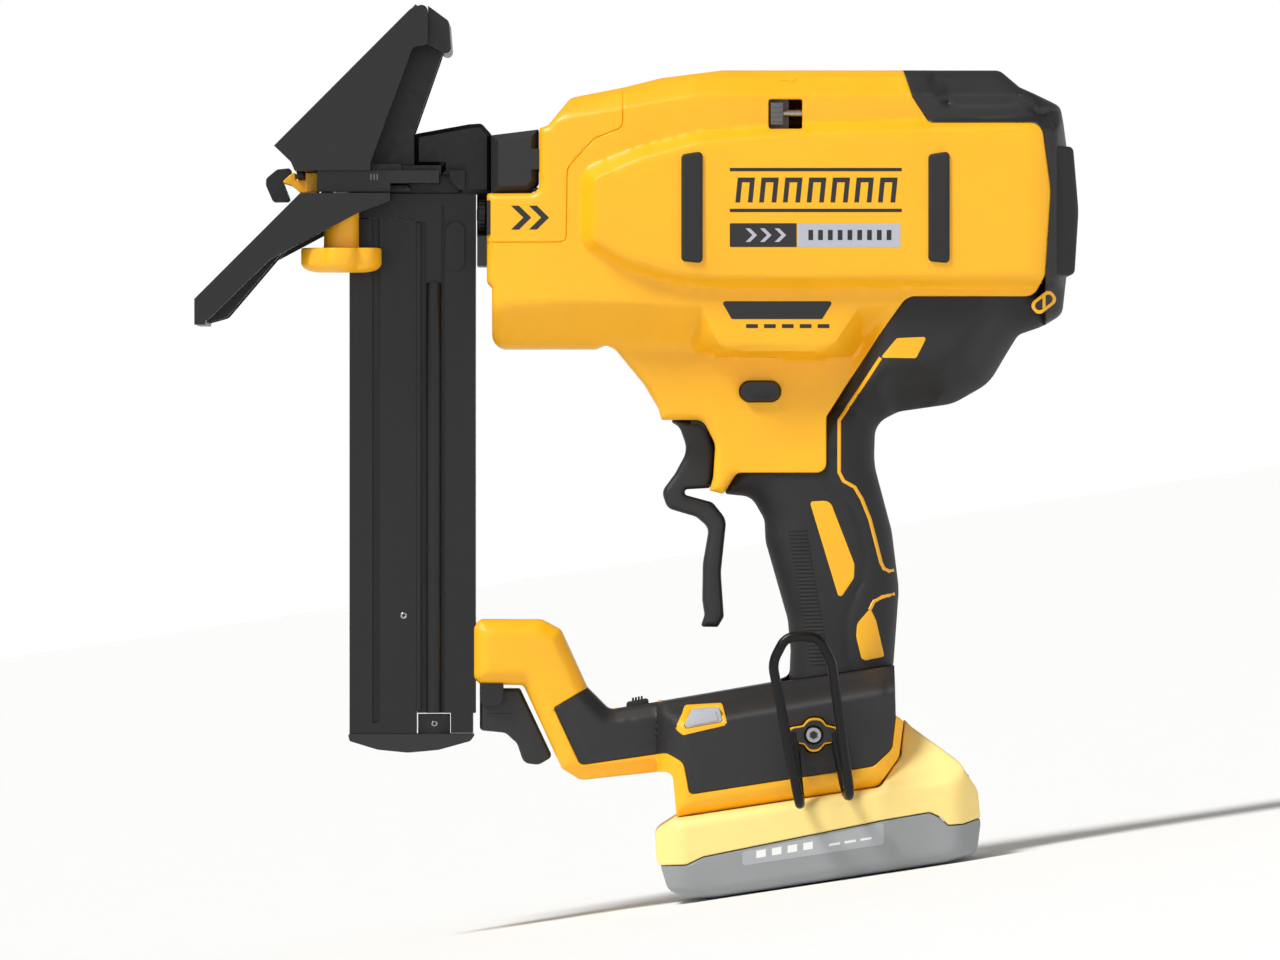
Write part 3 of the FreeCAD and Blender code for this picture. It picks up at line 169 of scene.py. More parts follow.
PACK = [(171.2, 30.0, 1.5), (163.8, 25.5, 4), (164.3, 14, 6), (168.5, 4.2, 5), (176.0, 1.2, 5)]
PACK += [(186, 1.85, 6), (268, 14.25, 5), (279, 17.6, 4), (280.5, 28, 4), (279.3, 40, 5)]
PACK += [(273, 50, 6), (256, 62.4, 3), (253.5, 65.2, 0.5), (251.9, 52.6, 5), (244.4, 41.2, 3)]


# ------------------------------------------------------------------ outline tools

def rounded(corners, step=None):
    """Points along a closed outline whose corners carry radii."""
    step = step or STEP
    out = []
    count = len(corners)
    for i, c in enumerate(corners):
        at = np.array(c[:2], float)
        a = np.array(corners[i - 1][:2], float) - at
        b = np.array(corners[(i + 1) % count][:2], float) - at
        la, lb = np.linalg.norm(a), np.linalg.norm(b)
        a, b = a / la, b / lb
        radius = c[2] if len(c) > 2 else 0.0
        half = math.acos(max(-1.0, min(1.0, float(a @ b)))) / 2
        if radius < 0.05 or half > 1.55:
            out.append([at])
            continue
        reach = min(radius / math.tan(half), 0.49 * min(la, lb))
        radius = reach * math.tan(half)
        middle = (a + b) / np.linalg.norm(a + b)
        centre = at + middle * (radius / math.sin(half))
        start, end = at + a * reach - centre, at + b * reach - centre
        t0, t1 = math.atan2(start[1], start[0]), math.atan2(end[1], end[0])
        turn = (t1 - t0 + math.pi) % (2 * math.pi) - math.pi
        n = max(2, int(math.ceil(abs(turn) * max(radius, 1.5) / step)), int(abs(turn) / 0.35))
        bend = []
        for k in range(n + 1):
            t = t0 + turn * k / n
            bend.append(centre + radius * np.array([math.cos(t), math.sin(t)]))
        out.append(bend)
    points = []
    for i, bend in enumerate(out):
        points.extend(bend)
        start, end = bend[-1], out[(i + 1) % count][0]
        gap = np.linalg.norm(end - start)
        n = int(gap / step)
        for k in range(1, n):
            points.append(start + (end - start) * k / n)
    clean = [points[0]]
    for p in points[1:]:
        if np.linalg.norm(p - clean[-1]) > 0.12:
            clean.append(p)
    if np.linalg.norm(clean[0] - clean[-1]) < 0.12:
        clean.pop()
    return np.array(clean)


def distance(points, poly):
    """Distance to a closed outline, positive inside it."""
    points = np.asarray(points, float)
    result = np.empty(len(points))
    a = poly
    b = np.roll(poly, -1, 0)
    ab = b - a
    length = np.maximum((ab ** 2).sum(1), 1e-12)
    for s in range(0, len(points), 3000):
        p = points[s:s + 3000]
        ap = p[:, None, :] - a[None]
        t = np.clip((ap * ab[None]).sum(2) / length, 0, 1)
        d = np.sqrt(((ap - t[..., None] * ab[None]) ** 2).sum(2)).min(1)
        above = (a[None, :, 1] > p[:, None, 1]) != (b[None, :, 1] > p[:, None, 1])
        rise = np.where(np.abs(ab[:, 1]) < 1e-12, 1e-12, ab[:, 1])
        cross = a[:, 0] + (p[:, None, 1] - a[:, 1]) * ab[:, 0] / rise
        inside = ((above & (p[:, None, 0] < cross)).sum(1) % 2) == 1
        result[s:s + 3000] = np.where(inside, d, -d)
    return result


def groove(points, line, half, depth):
    """Depth of a soft groove that follows an open line."""
    line = np.array(line, float)
    best = np.full(len(points), 1e9)
    for a, b in zip(line[:-1], line[1:]):
        ab = b - a
        t = np.clip(((points - a) @ ab) / (ab @ ab), 0, 1)
        best = np.minimum(best, np.linalg.norm(points - a - t[:, None] * ab, axis=1))
    return depth * np.clip(1 - best / half, 0, 1)


def smin(a, b, k):
    """Smaller of two values, blended where they are within k of each other."""
    h = np.clip(0.5 + 0.5 * (b - a) / k, 0, 1)
    return b * (1 - h) + a * h - k * h * (1 - h)


def smax(a, b, k):
    """Larger of two values, blended where they are within k of each other."""
    return -smin(-a, -b, k)


def edge_drop(d, radius):
    """How far a rounded rim falls at distance d inside its outline."""
    s = np.clip(radius - d, 0, radius)
    return radius - np.sqrt(np.maximum(radius ** 2 - s ** 2, 0))


SAMPLED = {}


def field(name, corners, points):
    """Distance to a named outline, which is rounded only once."""
    if name not in SAMPLED:
        SAMPLED[name] = rounded(corners, 2.0)
    return distance(points, SAMPLED[name])


# ------------------------------------------------------------------ depth of the skin

def body_depth(p):
    """Half width of the motor housing at points (x, z)."""
    x, z = p[:, 0], p[:, 1]
    d = field("ALL_BODY", ALL_BODY, p)
    plateau = field("PLATEAU", PLATEAU, p)
    slope = np.where(z > 250, 1.15, 1.0)
    front = 27.5 + np.clip(x - 103.5, 0, 60) * 0.15
    y = smin(BODY_HALF + slope * plateau, BODY_HALF + 0 * x, 0.6)
    y = smin(y, front, 3.0)
    rear = np.clip((x - 297.0) / 15.6, 0, 0.98)
    sweep = 14.0 * (1 - np.sqrt(1 - rear ** 2))
    y = smin(y, 36.0 - sweep, 1.5)
    crest = field("CREST", CREST, p)
    dome = BARREL_HALF + 1.2 * (1 - ((z - 250) / 26.0) ** 2)
    barrel = smin(dome, BARREL_HALF + 1.75 * crest, 1.4) - sweep
    y = smax(y, barrel, 1.0)
    bulge = field("BULGE", BULGE, p)
    y = smax(y, smin(BODY_HALF + 1.5 * bulge, BODY_HALF + 0 * x, 1.0), 1.0)
    return y - edge_drop(d, 3.0) - np.where(d < 0, -6.0 * d, 0)


def grip_depth(p):
    """Half width of the handle, oval in section."""
    d = field("HANDLE", HANDLE, p)
    round_in = 15.0
    s = np.clip((round_in - d) / round_in, 0, 1)
    y = GRIP_HALF - round_in + round_in * np.sqrt(np.maximum(1 - s ** 2.3, 0))
    return y - np.where(d < 0, -5.0 * d, 0)


def tail_depth(p):
    """Half width of the tail under the motor, with its thumb dimple."""
    d = field("TAIL", TAIL, p)
    y = smin(9.0 + 1.5 * d, TAIL_HALF + 0 * d, 6.0) - edge_drop(d, 6.0)
    x, z = p[:, 0], p[:, 1]
    dimple = ((x - 255.5) / 10.5) ** 2 + ((z - 183.5) / 8.0) ** 2
    y = y - 4.0 * np.clip(1 - dimple, 0, 1) ** 0.6 * (z > 176)
    return y - np.where(d < 0, -5.0 * d, 0)


def top_depth(p):
    """Motor housing, neck, handle and tail blended into one skin."""
    neck = field("NECK", NECK, p)
    cheek = NECK_HALF - edge_drop(neck, 3.0) - np.where(neck < 0, -5.0 * neck, 0)
    y = smax(body_depth(p), cheek, 3.0)
    y = smax(y, tail_depth(p), 4.0)
    return smax(y, grip_depth(p), 3.0)


def low_depth(p):
    """Arm, base and the foot of the handle blended into one skin."""
    x, z = p[:, 0], p[:, 1]
    arm = field("ARM", ARM, p)
    y_arm = smin(12.0 + 0.9 * arm, ARM_HALF + 0 * x, 1.0) - edge_drop(arm, 1.5)
    y_arm = y_arm - np.where(arm < 0, -5.0 * arm, 0)
    base = field("BASE", BASE, p)
    under_top = (x - 168) * 0.1686 - (z - 71.8) * 0.9857
    y_base = smin(BASE_HALF + 0 * x, 21.0 + 1.5 * under_top, 3.0)
    y_base = smin(y_base, 16.0 + (x - 160.0) * 1.5, 5.0)
    rim = np.minimum(251.0 - x + 0.2 * (z - 50), z - rail_z(x))
    y_base = smin(y_base, 31.5 + 0.9 * np.maximum(rim, -3), 1.0)
    y_base = y_base - np.where(base < 0, -6.0 * base, 0)
    y = smax(y_arm, y_base, 2.0)
    y = smax(y, grip_depth(p), 3.0)
    return np.maximum(y, 3.0)


def pack_depth(p):
    """Half width of the battery, drawn in towards the rail and at both ends."""
    x, z = p[:, 0], p[:, 1]
    d = field("PACK", PACK, p)
    above = z - (rail_z(x) - 3.0)
    y = PACK_HALF - edge_drop(d, 5.0)
    y = smin(y, PACK_HALF - 0.8 * np.maximum(above, 0) + 0.3, 1.0)
    side = np.minimum(x - 163.8, 280.5 - x)
    return smin(y, 30.0 + 0.9 * side, 3.0)


# ------------------------------------------------------------------ mesh helpers

def new_object(name, verts, faces, material):
    """Mesh in the row frame with outward normals."""
    mesh = bpy.data.meshes.new(name)
    mesh.from_pydata([tuple(v) for v in to_row(verts)], [], [tuple(f) for f in faces])
    mesh.validate()
    bm = bmesh.new()
    bm.from_mesh(mesh)
    bmesh.ops.remove_doubles(bm, verts=bm.verts, dist=2e-6)
    bmesh.ops.dissolve_degenerate(bm, dist=1e-6, edges=bm.edges)
    loose = [v for v in bm.verts if not v.link_faces]
    bmesh.ops.delete(bm, geom=loose, context="VERTS")
    bmesh.ops.recalc_face_normals(bm, faces=bm.faces)
    for f in bm.faces:
        f.smooth = True
    for e in bm.edges:
        if len(e.link_faces) == 2 and e.calc_face_angle(0.0) > SHARP:
            e.smooth = False
    bm.to_mesh(mesh)
    bm.free()
    mesh.materials.append(material)
    obj = bpy.data.objects.new(name, mesh)
    bpy.context.collection.objects.link(obj)
    return obj


def merge(name, objects):
    """Several meshes made one, each keeping its own material."""
    bm = bmesh.new()
    materials = []
    for obj in objects:
        index = []
        for m in obj.data.materials:
            if m not in materials:
                materials.append(m)
            index.append(materials.index(m))
        first = len(bm.faces)
        bm.from_mesh(obj.data)
        bm.faces.ensure_lookup_table()
        for f in bm.faces[first:]:
            f.material_index = index[f.material_index] if index else 0
    mesh = bpy.data.meshes.new(name)
    bm.to_mesh(mesh)
    bm.free()
    for m in materials:
        mesh.materials.append(m)
    for obj in objects:
        bpy.data.objects.remove(obj)
    obj = bpy.data.objects.new(name, mesh)
    bpy.context.collection.objects.link(obj)
    return obj


def room_inside(outer, holes):
    """Function that gives the distance to the nearest edge of a region with holes."""
    def room(points):
        d = distance(points, outer)
        for h in holes:
            d = np.minimum(d, -distance(points, h))
        return d

    return room


def normals_of(poly):
    """Unit normals at the points of a closed outline."""
    ahead = np.roll(poly, -1, 0) - np.roll(poly, 1, 0)
    normal = np.stack([-ahead[:, 1], ahead[:, 0]], 1)
    return normal / np.maximum(np.linalg.norm(normal, axis=1), 1e-9)[:, None]


def edge_rows(outer, holes, room, offsets, share):
    """Rows of points that follow every edge at the given distances inside the region."""
    rows = []
    for poly, sign in [(outer, 1)] + [(h, -1) for h in holes]:
        normal = normals_of(poly)
        probe = distance(poly + normal * 0.05, poly)
        normal *= np.where(probe > 0, 1, -1)[:, None] * sign
        for off in offsets:
            ring = poly + normal * off
            rows.append(ring[room(ring) > off * share])
    return rows


def fill(points, loops, room):
    """Triangles over the points, held to the loops and kept inside the region."""
    edges = []
    start = 0
    for loop in loops:
        n = len(loop)
        edges += [(start + k, start + (k + 1) % n) for k in range(n)]
        start += n
    result = geometry.delaunay_2d_cdt([Vector(p) for p in points], edges, [], 0, 1e-4)
    verts = np.array([tuple(v) for v in result[0]])
    faces = np.array([tuple(f) for f in result[2]])
    faces = faces[room(verts[faces].mean(1)) > 0.0]
    return verts, faces, room(verts)


def thinned(points, fixed, cell=0.3):
    """The fixed points, and at most one of the others in each small cell."""
    taken = set()
    chosen = list(range(fixed))
    for i, p in enumerate(points):
        key = (int(p[0] / cell), int(p[1] / cell))
        if i >= fixed and key not in taken:
            chosen.append(i)
        taken.add(key)
    return points[chosen]


def triangulate(outer, holes, features, step):
    """Triangles filling a region, with rows of points along every edge and crease."""
    room = room_inside(outer, holes)
    extra = edge_rows(outer, holes, room, (0.3, 0.8, 1.5, 2.5, 3.8), 0.93)
    for poly, offs in features:
        normal = normals_of(poly)
        for off in offs:
            ring = poly + normal * off
            extra.append(ring[room(ring) > 0.4])
    low, high = outer.min(0), outer.max(0)
    gx, gz = np.meshgrid(np.arange(low[0], high[0], step), np.arange(low[1], high[1], step * 0.87))
    gx = gx + (np.arange(gx.shape[0]) % 2)[:, None] * step / 2
    grid = np.stack([gx.ravel(), gz.ravel()], 1)
    keep = room(grid) > 4.0
    for poly, offs in features:
        keep &= np.abs(distance(grid, poly)) > max(abs(o) for o in offs) + step * 0.4
    loops = [outer] + holes
    points = np.concatenate(loops + extra + [grid[keep]])
    return fill(thinned(points, sum(len(loop) for loop in loops)), loops, room)


def triangulate_flat(outer, holes, bevel):
    """Triangles filling a region, with rows of points only across its rounded rim."""
    room = room_inside(outer, holes)
    offsets = [bevel * share for share in (0.3, 0.65, 1.0)]
    extra = edge_rows(outer, holes, room, offsets, 0.9)
    loops = [outer] + holes
    return fill(np.concatenate(loops + extra), loops, room)


def boundary(faces):
    """Edges that only one of the triangles has."""
    seen = {}
    for f in faces:
        for a, b in ((f[0], f[1]), (f[1], f[2]), (f[2], f[0])):
            if (b, a) in seen:
                del seen[(b, a)]
            else:
                seen[(a, b)] = True
    return list(seen)


def two_sided(faces, n):
    """Faces of one sheet, of its copy n points further on, and of the wall between."""
    both = [tuple(f) for f in faces] + [(f[2] + n, f[1] + n, f[0] + n) for f in faces]
    return both + [(b, a, a + n, b + n) for a, b in boundary(faces)]


def shell(name, tri, depth, side, material, stop=None, wall=SHELL_WALL, seam=0.45, thin=None):
    """Hollow half shell whose outside follows a depth, closed with a real wall."""
    verts, faces, d = tri
    fall = edge_drop(np.maximum(d, 0), seam) if seam else 0.0
    y = depth(verts) - fall
    mid = stop(verts) if stop else np.zeros(len(verts))
    mid = np.minimum(mid, y - 1.4)
    wall_y = y - wall
    if thin:
        reach = np.where(thin(verts), y - 0.8, -99.0)
        mid = np.maximum(mid, reach)
        wall_y = np.maximum(wall_y, reach)
    inner_faces = faces[(d[faces] > wall * 0.98).all(1) & (wall_y[faces] > mid[faces] + 0.01).all(1)]
    used = set(map(tuple, inner_faces))
    rim = [f for f in faces if tuple(f) not in used]
    n = len(verts)
    x, z = verts[:, 0], verts[:, 1]
    out = np.stack([x, side * y, z], 1)
    middle = np.stack([x, side * mid, z], 1)
    inside = np.stack([x, side * wall_y, z], 1)
    all_faces = [tuple(f) for f in faces]
    all_faces += [(f[2] + n, f[1] + n, f[0] + n) for f in rim]
    all_faces += [(f[2] + 2 * n, f[1] + 2 * n, f[0] + 2 * n) for f in inner_faces]
    for a, b in boundary(faces):
        all_faces.append((b, a, a + n, b + n))
    for a, b in boundary(inner_faces):
        all_faces.append((a + n, b + n, b + 2 * n, a + 2 * n))
    return new_object(name, np.concatenate([out, middle, inside]), all_faces, material)


def skin(name, tri, depth, side, material, lift, base, seam=0.3):
    """Thin closed patch that follows a depth, for inlays and printed marks."""
    verts, faces, d = tri
    y = depth(verts) + lift - (edge_drop(np.maximum(d, 0), seam) if seam else 0.0)
    low = depth(verts) + base
    n = len(verts)
    out = np.stack([verts[:, 0], side * y, verts[:, 1]], 1)
    under = np.stack([verts[:, 0], side * low, verts[:, 1]], 1)
    return new_object(name, np.concatenate([out, under]), two_sided(faces, n), material)


def patch(name, corners, depth, side, material, lift=0.12, base=-0.5, step=2.0, seam=0.1):
    """Thin closed patch given by its corners."""
    outer = rounded(corners, step)
    tri = triangulate(outer, [], [], step)
    return skin(name, tri, depth, side, material, lift, base, seam)


def plate(name, corners, y0, y1, material, bevel=0.5, holes=(), step=1.5):
    """Solid plate between two values of y, with rounded rims."""
    outer = rounded(corners, step)
    rings = [rounded(h, step) for h in holes]
    verts, faces, d = triangulate_flat(outer, rings, bevel)
    drop = edge_drop(np.maximum(d, 0), bevel)
    n = len(verts)
    low = np.stack([verts[:, 0], y0 + drop, verts[:, 1]], 1)
    high = np.stack([verts[:, 0], y1 - drop, verts[:, 1]], 1)
    return new_object(name, np.concatenate([low, high]), two_sided(faces, n), material)


def bands(rows, count):
    """Faces of a closed skin over rows of count points, with a cap at each end."""
    faces = []
    for i in range(rows - 1):
        for k in range(count):
            a, b = i * count + k, i * count + (k + 1) % count
            faces.append((a, b, b + count, a + count))
    faces.append(tuple(range(count))[::-1])
    faces.append(tuple((rows - 1) * count + k for k in range(count)))
    return faces


def turned(name, profile, axis_point, axis, material, count=48):
    """Solid of revolution; profile is (radius, along axis) from one end to the other."""
    axis = np.array(axis, float) / np.linalg.norm(axis)
    side = np.array([1.0, 0, 0]) if abs(axis[0]) < 0.9 else np.array([0, 0, 1.0])
    u = np.cross(axis, side)
    u /= np.linalg.norm(u)
    v = np.cross(axis, u)
    verts = []
    for r, h in profile:
        for k in range(count):
            t = 2 * math.pi * k / count
            verts.append(np.array(axis_point) + axis * h + r * (u * math.cos(t) + v * math.sin(t)))
    return new_object(name, verts, bands(len(profile), count), material)


def tube(name, points, radius, material, count=16):
    """Round wire along a list of points."""
    points = np.array(points, float)
    verts = []
    ahead = np.gradient(points, axis=0)
    ahead /= np.linalg.norm(ahead, axis=1)[:, None]
    u = np.cross(ahead[0], [0.3, 1.0, 0.2])
    for p, t in zip(points, ahead):
        u = u - t * (u @ t)
        u /= np.linalg.norm(u)
        v = np.cross(t, u)
        for k in range(count):
            a = 2 * math.pi * k / count
            verts.append(p + radius * (u * math.cos(a) + v * math.sin(a)))
    return new_object(name, verts, bands(len(points), count), material)


def settle(obj, body, nodes, slot_name):
    """Puts a finished piece on its body, in place of the nodes it replaces."""
    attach(obj, body)
    if nodes:
        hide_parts(*nodes)
    return obj


# ------------------------------------------------------------------ materials

def linear(hex_code):
    """Linear colour of an sRGB hex value."""
    value = [int(hex_code[i:i + 2], 16) / 255 for i in (0, 2, 4)]
    return [v / 12.92 if v <= 0.04045 else ((v + 0.055) / 1.055) ** 2.4 for v in value] + [1.0]


def add(tree, kind, settings=None, links=None):
    """Adds a node, sets its sockets or properties, and links its inputs."""
    node = tree.nodes.new(kind)
    for key, value in (settings or {}).items():
        if key in node.inputs:
            node.inputs[key].default_value = value
        else:
            setattr(node, key, value)
    for key, source in (links or {}).items():
        tree.links.new(source, node.inputs[key])
    return node


def base_material(name):
    """New material with its tree, its shader and the object's own coordinates."""
    material = bpy.data.materials.new(name)
    material.use_nodes = True
    tree = material.node_tree
    shader = tree.nodes["Principled BSDF"]
    place = add(tree, "ShaderNodeTexCoord").outputs["Object"]
    return material, tree, shader, place


def grade(tree, noise, edges, low, high):
    """Value that runs from low to high as the noise crosses its middle band."""
    settings = {"From Min": edges[0], "From Max": edges[1], "To Min": low, "To Max": high}
    return add(tree, "ShaderNodeMapRange", settings, {"Value": noise}).outputs["Result"]


def tint(tree, shader, colour, tone):
    """Base colour, darkened a little where the tone is low."""
    mix = add(tree, "ShaderNodeMix", {"data_type": "RGBA", "blend_type": "MULTIPLY"})
    mix.inputs["Factor"].default_value = 1.0
    mix.inputs[6].default_value = linear(colour)
    tree.links.new(tone, mix.inputs[7])
    tree.links.new(mix.outputs[2], shader.inputs["Base Color"])


def relief(tree, shader, height, strength, depth_mm):
    """Fine surface relief of a real depth."""
    bump = add(tree, "ShaderNodeBump", {"Strength": strength, "Distance": depth_mm / 1000.0},
               {"Height": height})
    tree.links.new(bump.outputs["Normal"], shader.inputs["Normal"])


def moulded(name, colour, rough, grain_mm, grain_depth, shade=0.92, spread=0.06):
    """Moulded plastic or rubber with a fine spark-eroded grain and faint handling wear."""
    material, tree, shader, place = base_material(name)
    grain_scale = 1000.0 / grain_mm
    fine = add(tree, "ShaderNodeTexNoise", {"Scale": grain_scale, "Detail": 2.0}, {"Vector": place})
    wide = add(tree, "ShaderNodeTexNoise", {"Scale": 38.0, "Detail": 3.0}, {"Vector": place})
    wear = wide.outputs["Fac"]
    tint(tree, shader, colour, grade(tree, wear, (0.35, 0.65), shade, 1.0))
    gloss = grade(tree, wear, (0.3, 0.7), rough - spread, rough + spread)
    tree.links.new(gloss, shader.inputs["Roughness"])
    relief(tree, shader, fine.outputs["Fac"], 0.5, grain_depth)
    shader.inputs["IOR"].default_value = 1.5
    return material


def metal(name, colour, rough, metallic=1.0, stretch=(1, 1, 1), scale=300.0, depth=0.01,
          spread=0.06, shade=0.9):
    """Metal surface with directional working marks."""
    material, tree, shader, place = base_material(name)
    level = add(tree, "ShaderNodeMapping", {"Rotation": (0, -TILT, 0)}, {"Vector": place})
    squeeze = add(tree, "ShaderNodeMapping", {"Scale": stretch}, {"Vector": level.outputs["Vector"]})
    lines = add(tree, "ShaderNodeTexNoise", {"Scale": scale, "Detail": 4.0},
                {"Vector": squeeze.outputs["Vector"]}).outputs["Fac"]
    gloss = grade(tree, lines, (0.3, 0.7), rough - spread, rough + spread)
    tree.links.new(gloss, shader.inputs["Roughness"])
    tint(tree, shader, colour, grade(tree, lines, (0.3, 0.7), shade, 1.0))
    shader.inputs["Metallic"].default_value = metallic
    relief(tree, shader, lines, 0.4, depth)
    return material


def clear_plastic(name, colour):
    """Clear polycarbonate: pale, glossy, slightly grey at the edges."""
    material, tree, shader, place = base_material(name)
    noise = add(tree, "ShaderNodeTexNoise", {"Scale": 400.0, "Detail": 1.0}, {"Vector": place})
    gloss = grade(tree, noise.outputs["Fac"], (0.0, 1.0), 0.08, 0.16)
    tree.links.new(gloss, shader.inputs["Roughness"])
    shader.inputs["Base Color"].default_value = linear(colour)
    shader.inputs["IOR"].default_value = 1.58
    shader.inputs["Transmission Weight"].default_value = 0.25
    return material


# Glass-filled nylon housing, spark-eroded mould: even warm yellow, soft broken highlight.
YELLOW = moulded("nylon_yellow", "FAB40F", 0.42, 0.55, 0.030, 0.95)
# Same nylon in black: dark grey under light, slight grain.
BLACK = moulded("nylon_black", "1E1E20", 0.50, 0.5, 0.035, 0.9)
# Thermoplastic rubber overmould: duller and deeper than the nylon.
RUBBER = moulded("soft_overmould", "1B1B1D", 0.66, 0.45, 0.04, 0.88)
# Pale battery shell in the lighter yellow of its own moulding.
PACK_YELLOW = moulded("pack_shell", "FADC86", 0.48, 0.55, 0.025, 0.96)
# Satin grey moulding of the pack's tray and button.
PACK_GREY = moulded("pack_grey", "8F9294", 0.5, 0.5, 0.03, 0.94)
# Darker grey acetal of the small release slide.
SLIDE_GREY = moulded("slide_grey", "5C5D5F", 0.42, 0.5, 0.02, 0.94)
# Laminated paper label: pale, smooth and even.
LABEL_GREY = moulded("label_grey", "A5A8AC", 0.4, 0.9, 0.004, 0.96)
# Printed ink: thin and even, close to the plastic's own gloss.
# The black ink also serves as painted shade: boxes in the pack's blade slots, a disc in the hook
# screw's recess, a sheet in the strap slot.
INK_AND_SHADE_BLACK = moulded("ink_and_painted_shade_black", "1B1B1C", 0.42, 0.8, 0.006, 0.95)
INK_SILVER = moulded("ink_silver", "B4B6C0", 0.36, 0.8, 0.004, 0.95)
INK_WHITE = moulded("ink_white", "E9E9E6", 0.42, 0.8, 0.004, 0.97)
# Black anodised extrusion: drawn lines along the length, metallic sheen.
ANODISED = metal("anodised_black", "1D1D1F", 0.36, 0.35, (1, 1, 0.02), 1500.0, 0.002, 0.04, 0.93)
# E-coated pressed steel: smooth dark coat with a slight orange peel.
ECOAT = metal("ecoat_steel", "171719", 0.40, 0.15, (1, 1, 1), 420.0, 0.02)
# Painted aluminium casting: dark satin paint over a sandy skin.
CAST = metal("painted_casting", "1B1B1D", 0.46, 0.2, (1, 1, 1), 700.0, 0.05)
# Ground tool steel: fine lines, bright.
STEEL = metal("ground_steel", "A9A9AA", 0.3, 1.0, (1, 1, 0.08), 1200.0, 0.003)
# Enamelled copper wire: warm, with fine turns side by side.
WINDING = metal("enamelled_winding", "B06A3A", 0.35, 0.9, (1, 0.05, 1), 1600.0, 0.05)
# Lacquered circuit board: deep green, fairly glossy.
BOARD = moulded("coated_board", "1E5B32", 0.35, 1.2, 0.01)
# Shrink sleeve of the cells: smooth thin film.
SLEEVE = moulded("shrink_sleeve", "2F6F9E", 0.3, 1.5, 0.004)

# Zinc-plated then dark-coated wire: smooth satin grey-black.
WIRE = metal("coated_wire", "1F1F21", 0.34, 0.7, (1, 1, 1), 500.0, 0.01)
# Moulded lens of the work lamp.
LENS_MATERIAL = clear_plastic("clear_lens", "C9CCD0")


# ------------------------------------------------------------------ shell pieces

HALVES = ((-1, "left"), (1, "right"))
SCREWS = [(112, 211), (163, 206), (239, 214), (176, 287), (240, 291), (292, 224), (296, 273)]
SCREWS += [(128, 91), (228, 103), (236, 150)]


def circle(x, z, r, n=28):
    """Points of a circle in the side view."""
    turns = [2 * math.pi * k / n for k in range(n)]
    return np.array([[x + r * math.cos(t), z + r * math.sin(t)] for t in turns])


def oval(x, z, rx, rz, n=32):
    """Points of a slot with round ends."""
    half = max(rx - rz, 0.01)
    points = []
    for k in range(n):
        t = 2 * math.pi * k / n
        points.append([x + (half if math.cos(t) > 0 else -half) + rz * math.cos(t),
                       z + rz * math.sin(t)])
    return np.array(points)


def feature(name, corners, offs):
    """Crease line with the offsets at which the mesh gets extra rows."""
    field(name, corners, np.zeros((1, 2)))
    return (SAMPLED[name], offs)


BODY_FEATURES = [feature("CREST", CREST, (-2.2, -1.1, 0.0, 1.1)),
                 feature("PLATEAU", PLATEAU, (-0.8, 0.0, 0.9)),
                 feature("BULGE", BULGE, (-1.2, 0.0, 1.0))]


def stop_top(p):
    """Inner limit of the upper shells, clear of the trigger slot and the nose pocket."""
    x, z = p[:, 0], p[:, 1]
    low = np.where((x < 200) & (z < 186), SLOT_HALF, 0.0)
    low = np.where((x < 132.2) & (z > 239) & (z < 280), 27.4, low)
    low = np.where((x > 199) & (x < 228) & (z > 272) & (z < 292), 28.4, low)
    return np.where((x >= 120) & (x < 137.5) & (z > 249) & (z < 261), np.maximum(low, 21.4), low)


def pin_bore(p):
    """Place at the end of the slide window where the wall is bored for the pin."""
    return (p[:, 0] > 216.2) & (p[:, 0] < 224.5) & (np.abs(p[:, 1] - 282.6) < 3.2)


def stop_low(p):
    """Inner limit of the lower shells, clear of the pack's tower."""
    x, z = p[:, 0], p[:, 1]
    near = (x > 176) & (z - rail_z(x) < 13.5)
    low = np.where(near, 29.8, 0.0)
    low = np.where((x < 99.6) & (z < 102), 11.2, low)
    return np.where((x > 148) & (x < 167) & (z > 63), 5.6, low)


WINDOW = [(204.5, 276.9, 0.8), (216.5, 276.9, 0.8), (216.5, 287.5, 0.8)]
WINDOW += [(204.5, 287.5, 0.8)]
OVAL_HOLE = oval(*BUTTON_AT, 7.4, 3.75)


def screw_holes(outline):
    """Counterbored screw places that fall inside one region."""
    holes = []
    for x, z in SCREWS:
        d = distance(np.array([[x, z]], float), outline)[0]
        if d > SCREW_MARGIN:
            holes.append(circle(x, z, SCREW_CUP))
    return holes


def upper_halves():
    """Yellow halves: motor housing, neck, arm and base, with their inlays and thin lines."""
    outline = rounded(TOP)
    outline_low = rounded(LOW)
    step = STEP * 1.25
    for side, word in HALVES:
        near = side < 0
        holes = [rounded(WINDOW, 1.0)] if near else screw_holes(outline)
        bore = pin_bore if near else None
        tri = triangulate(outline, [OVAL_HOLE] + holes, BODY_FEATURES, step)
        parts = [shell(word + "_top", tri, top_depth, side, YELLOW, stop_top, thin=bore)]
        tri = triangulate(outline_low, [], [], step)
        parts.append(shell(word + "_low", tri, low_depth, side, YELLOW, stop_low))
        for label, corners, depth in (("_inlay", INLAY, grip_depth),
                                      ("_lower_inlay", LOWER_INLAY, grip_depth),
                                      ("_accent", ACCENT, tail_or_grip)):
            parts.append(patch(word + label, corners, depth, side, YELLOW, 0.25, -1.2))
        for i, points in enumerate(GRIP_LINES):
            parts.append(line_patch(word + "_line" + str(i), points, side, YELLOW))
        settle(merge(word + "_shell", parts), "housing", [word + "_housing"], "yellow_shell")


GRIP_LINES = [[(244.6, 195), (229.9, 172.6), (229.9, 154), (231.5, 150.8), (235.5, 148.6),
               (238, 144.5), (241, 137), (245, 121.5), (246.0, 119.4), (248.0, 118.4),
               (249.7, 118.8)],
              [(250.0, 110.3), (245.4, 109.2), (242.4, 107.6), (240.9, 104.6)]]


def tail_or_grip(p):
    """Handle and tail blended into one skin."""
    return smax(tail_depth(p), grip_depth(p), 3.0)


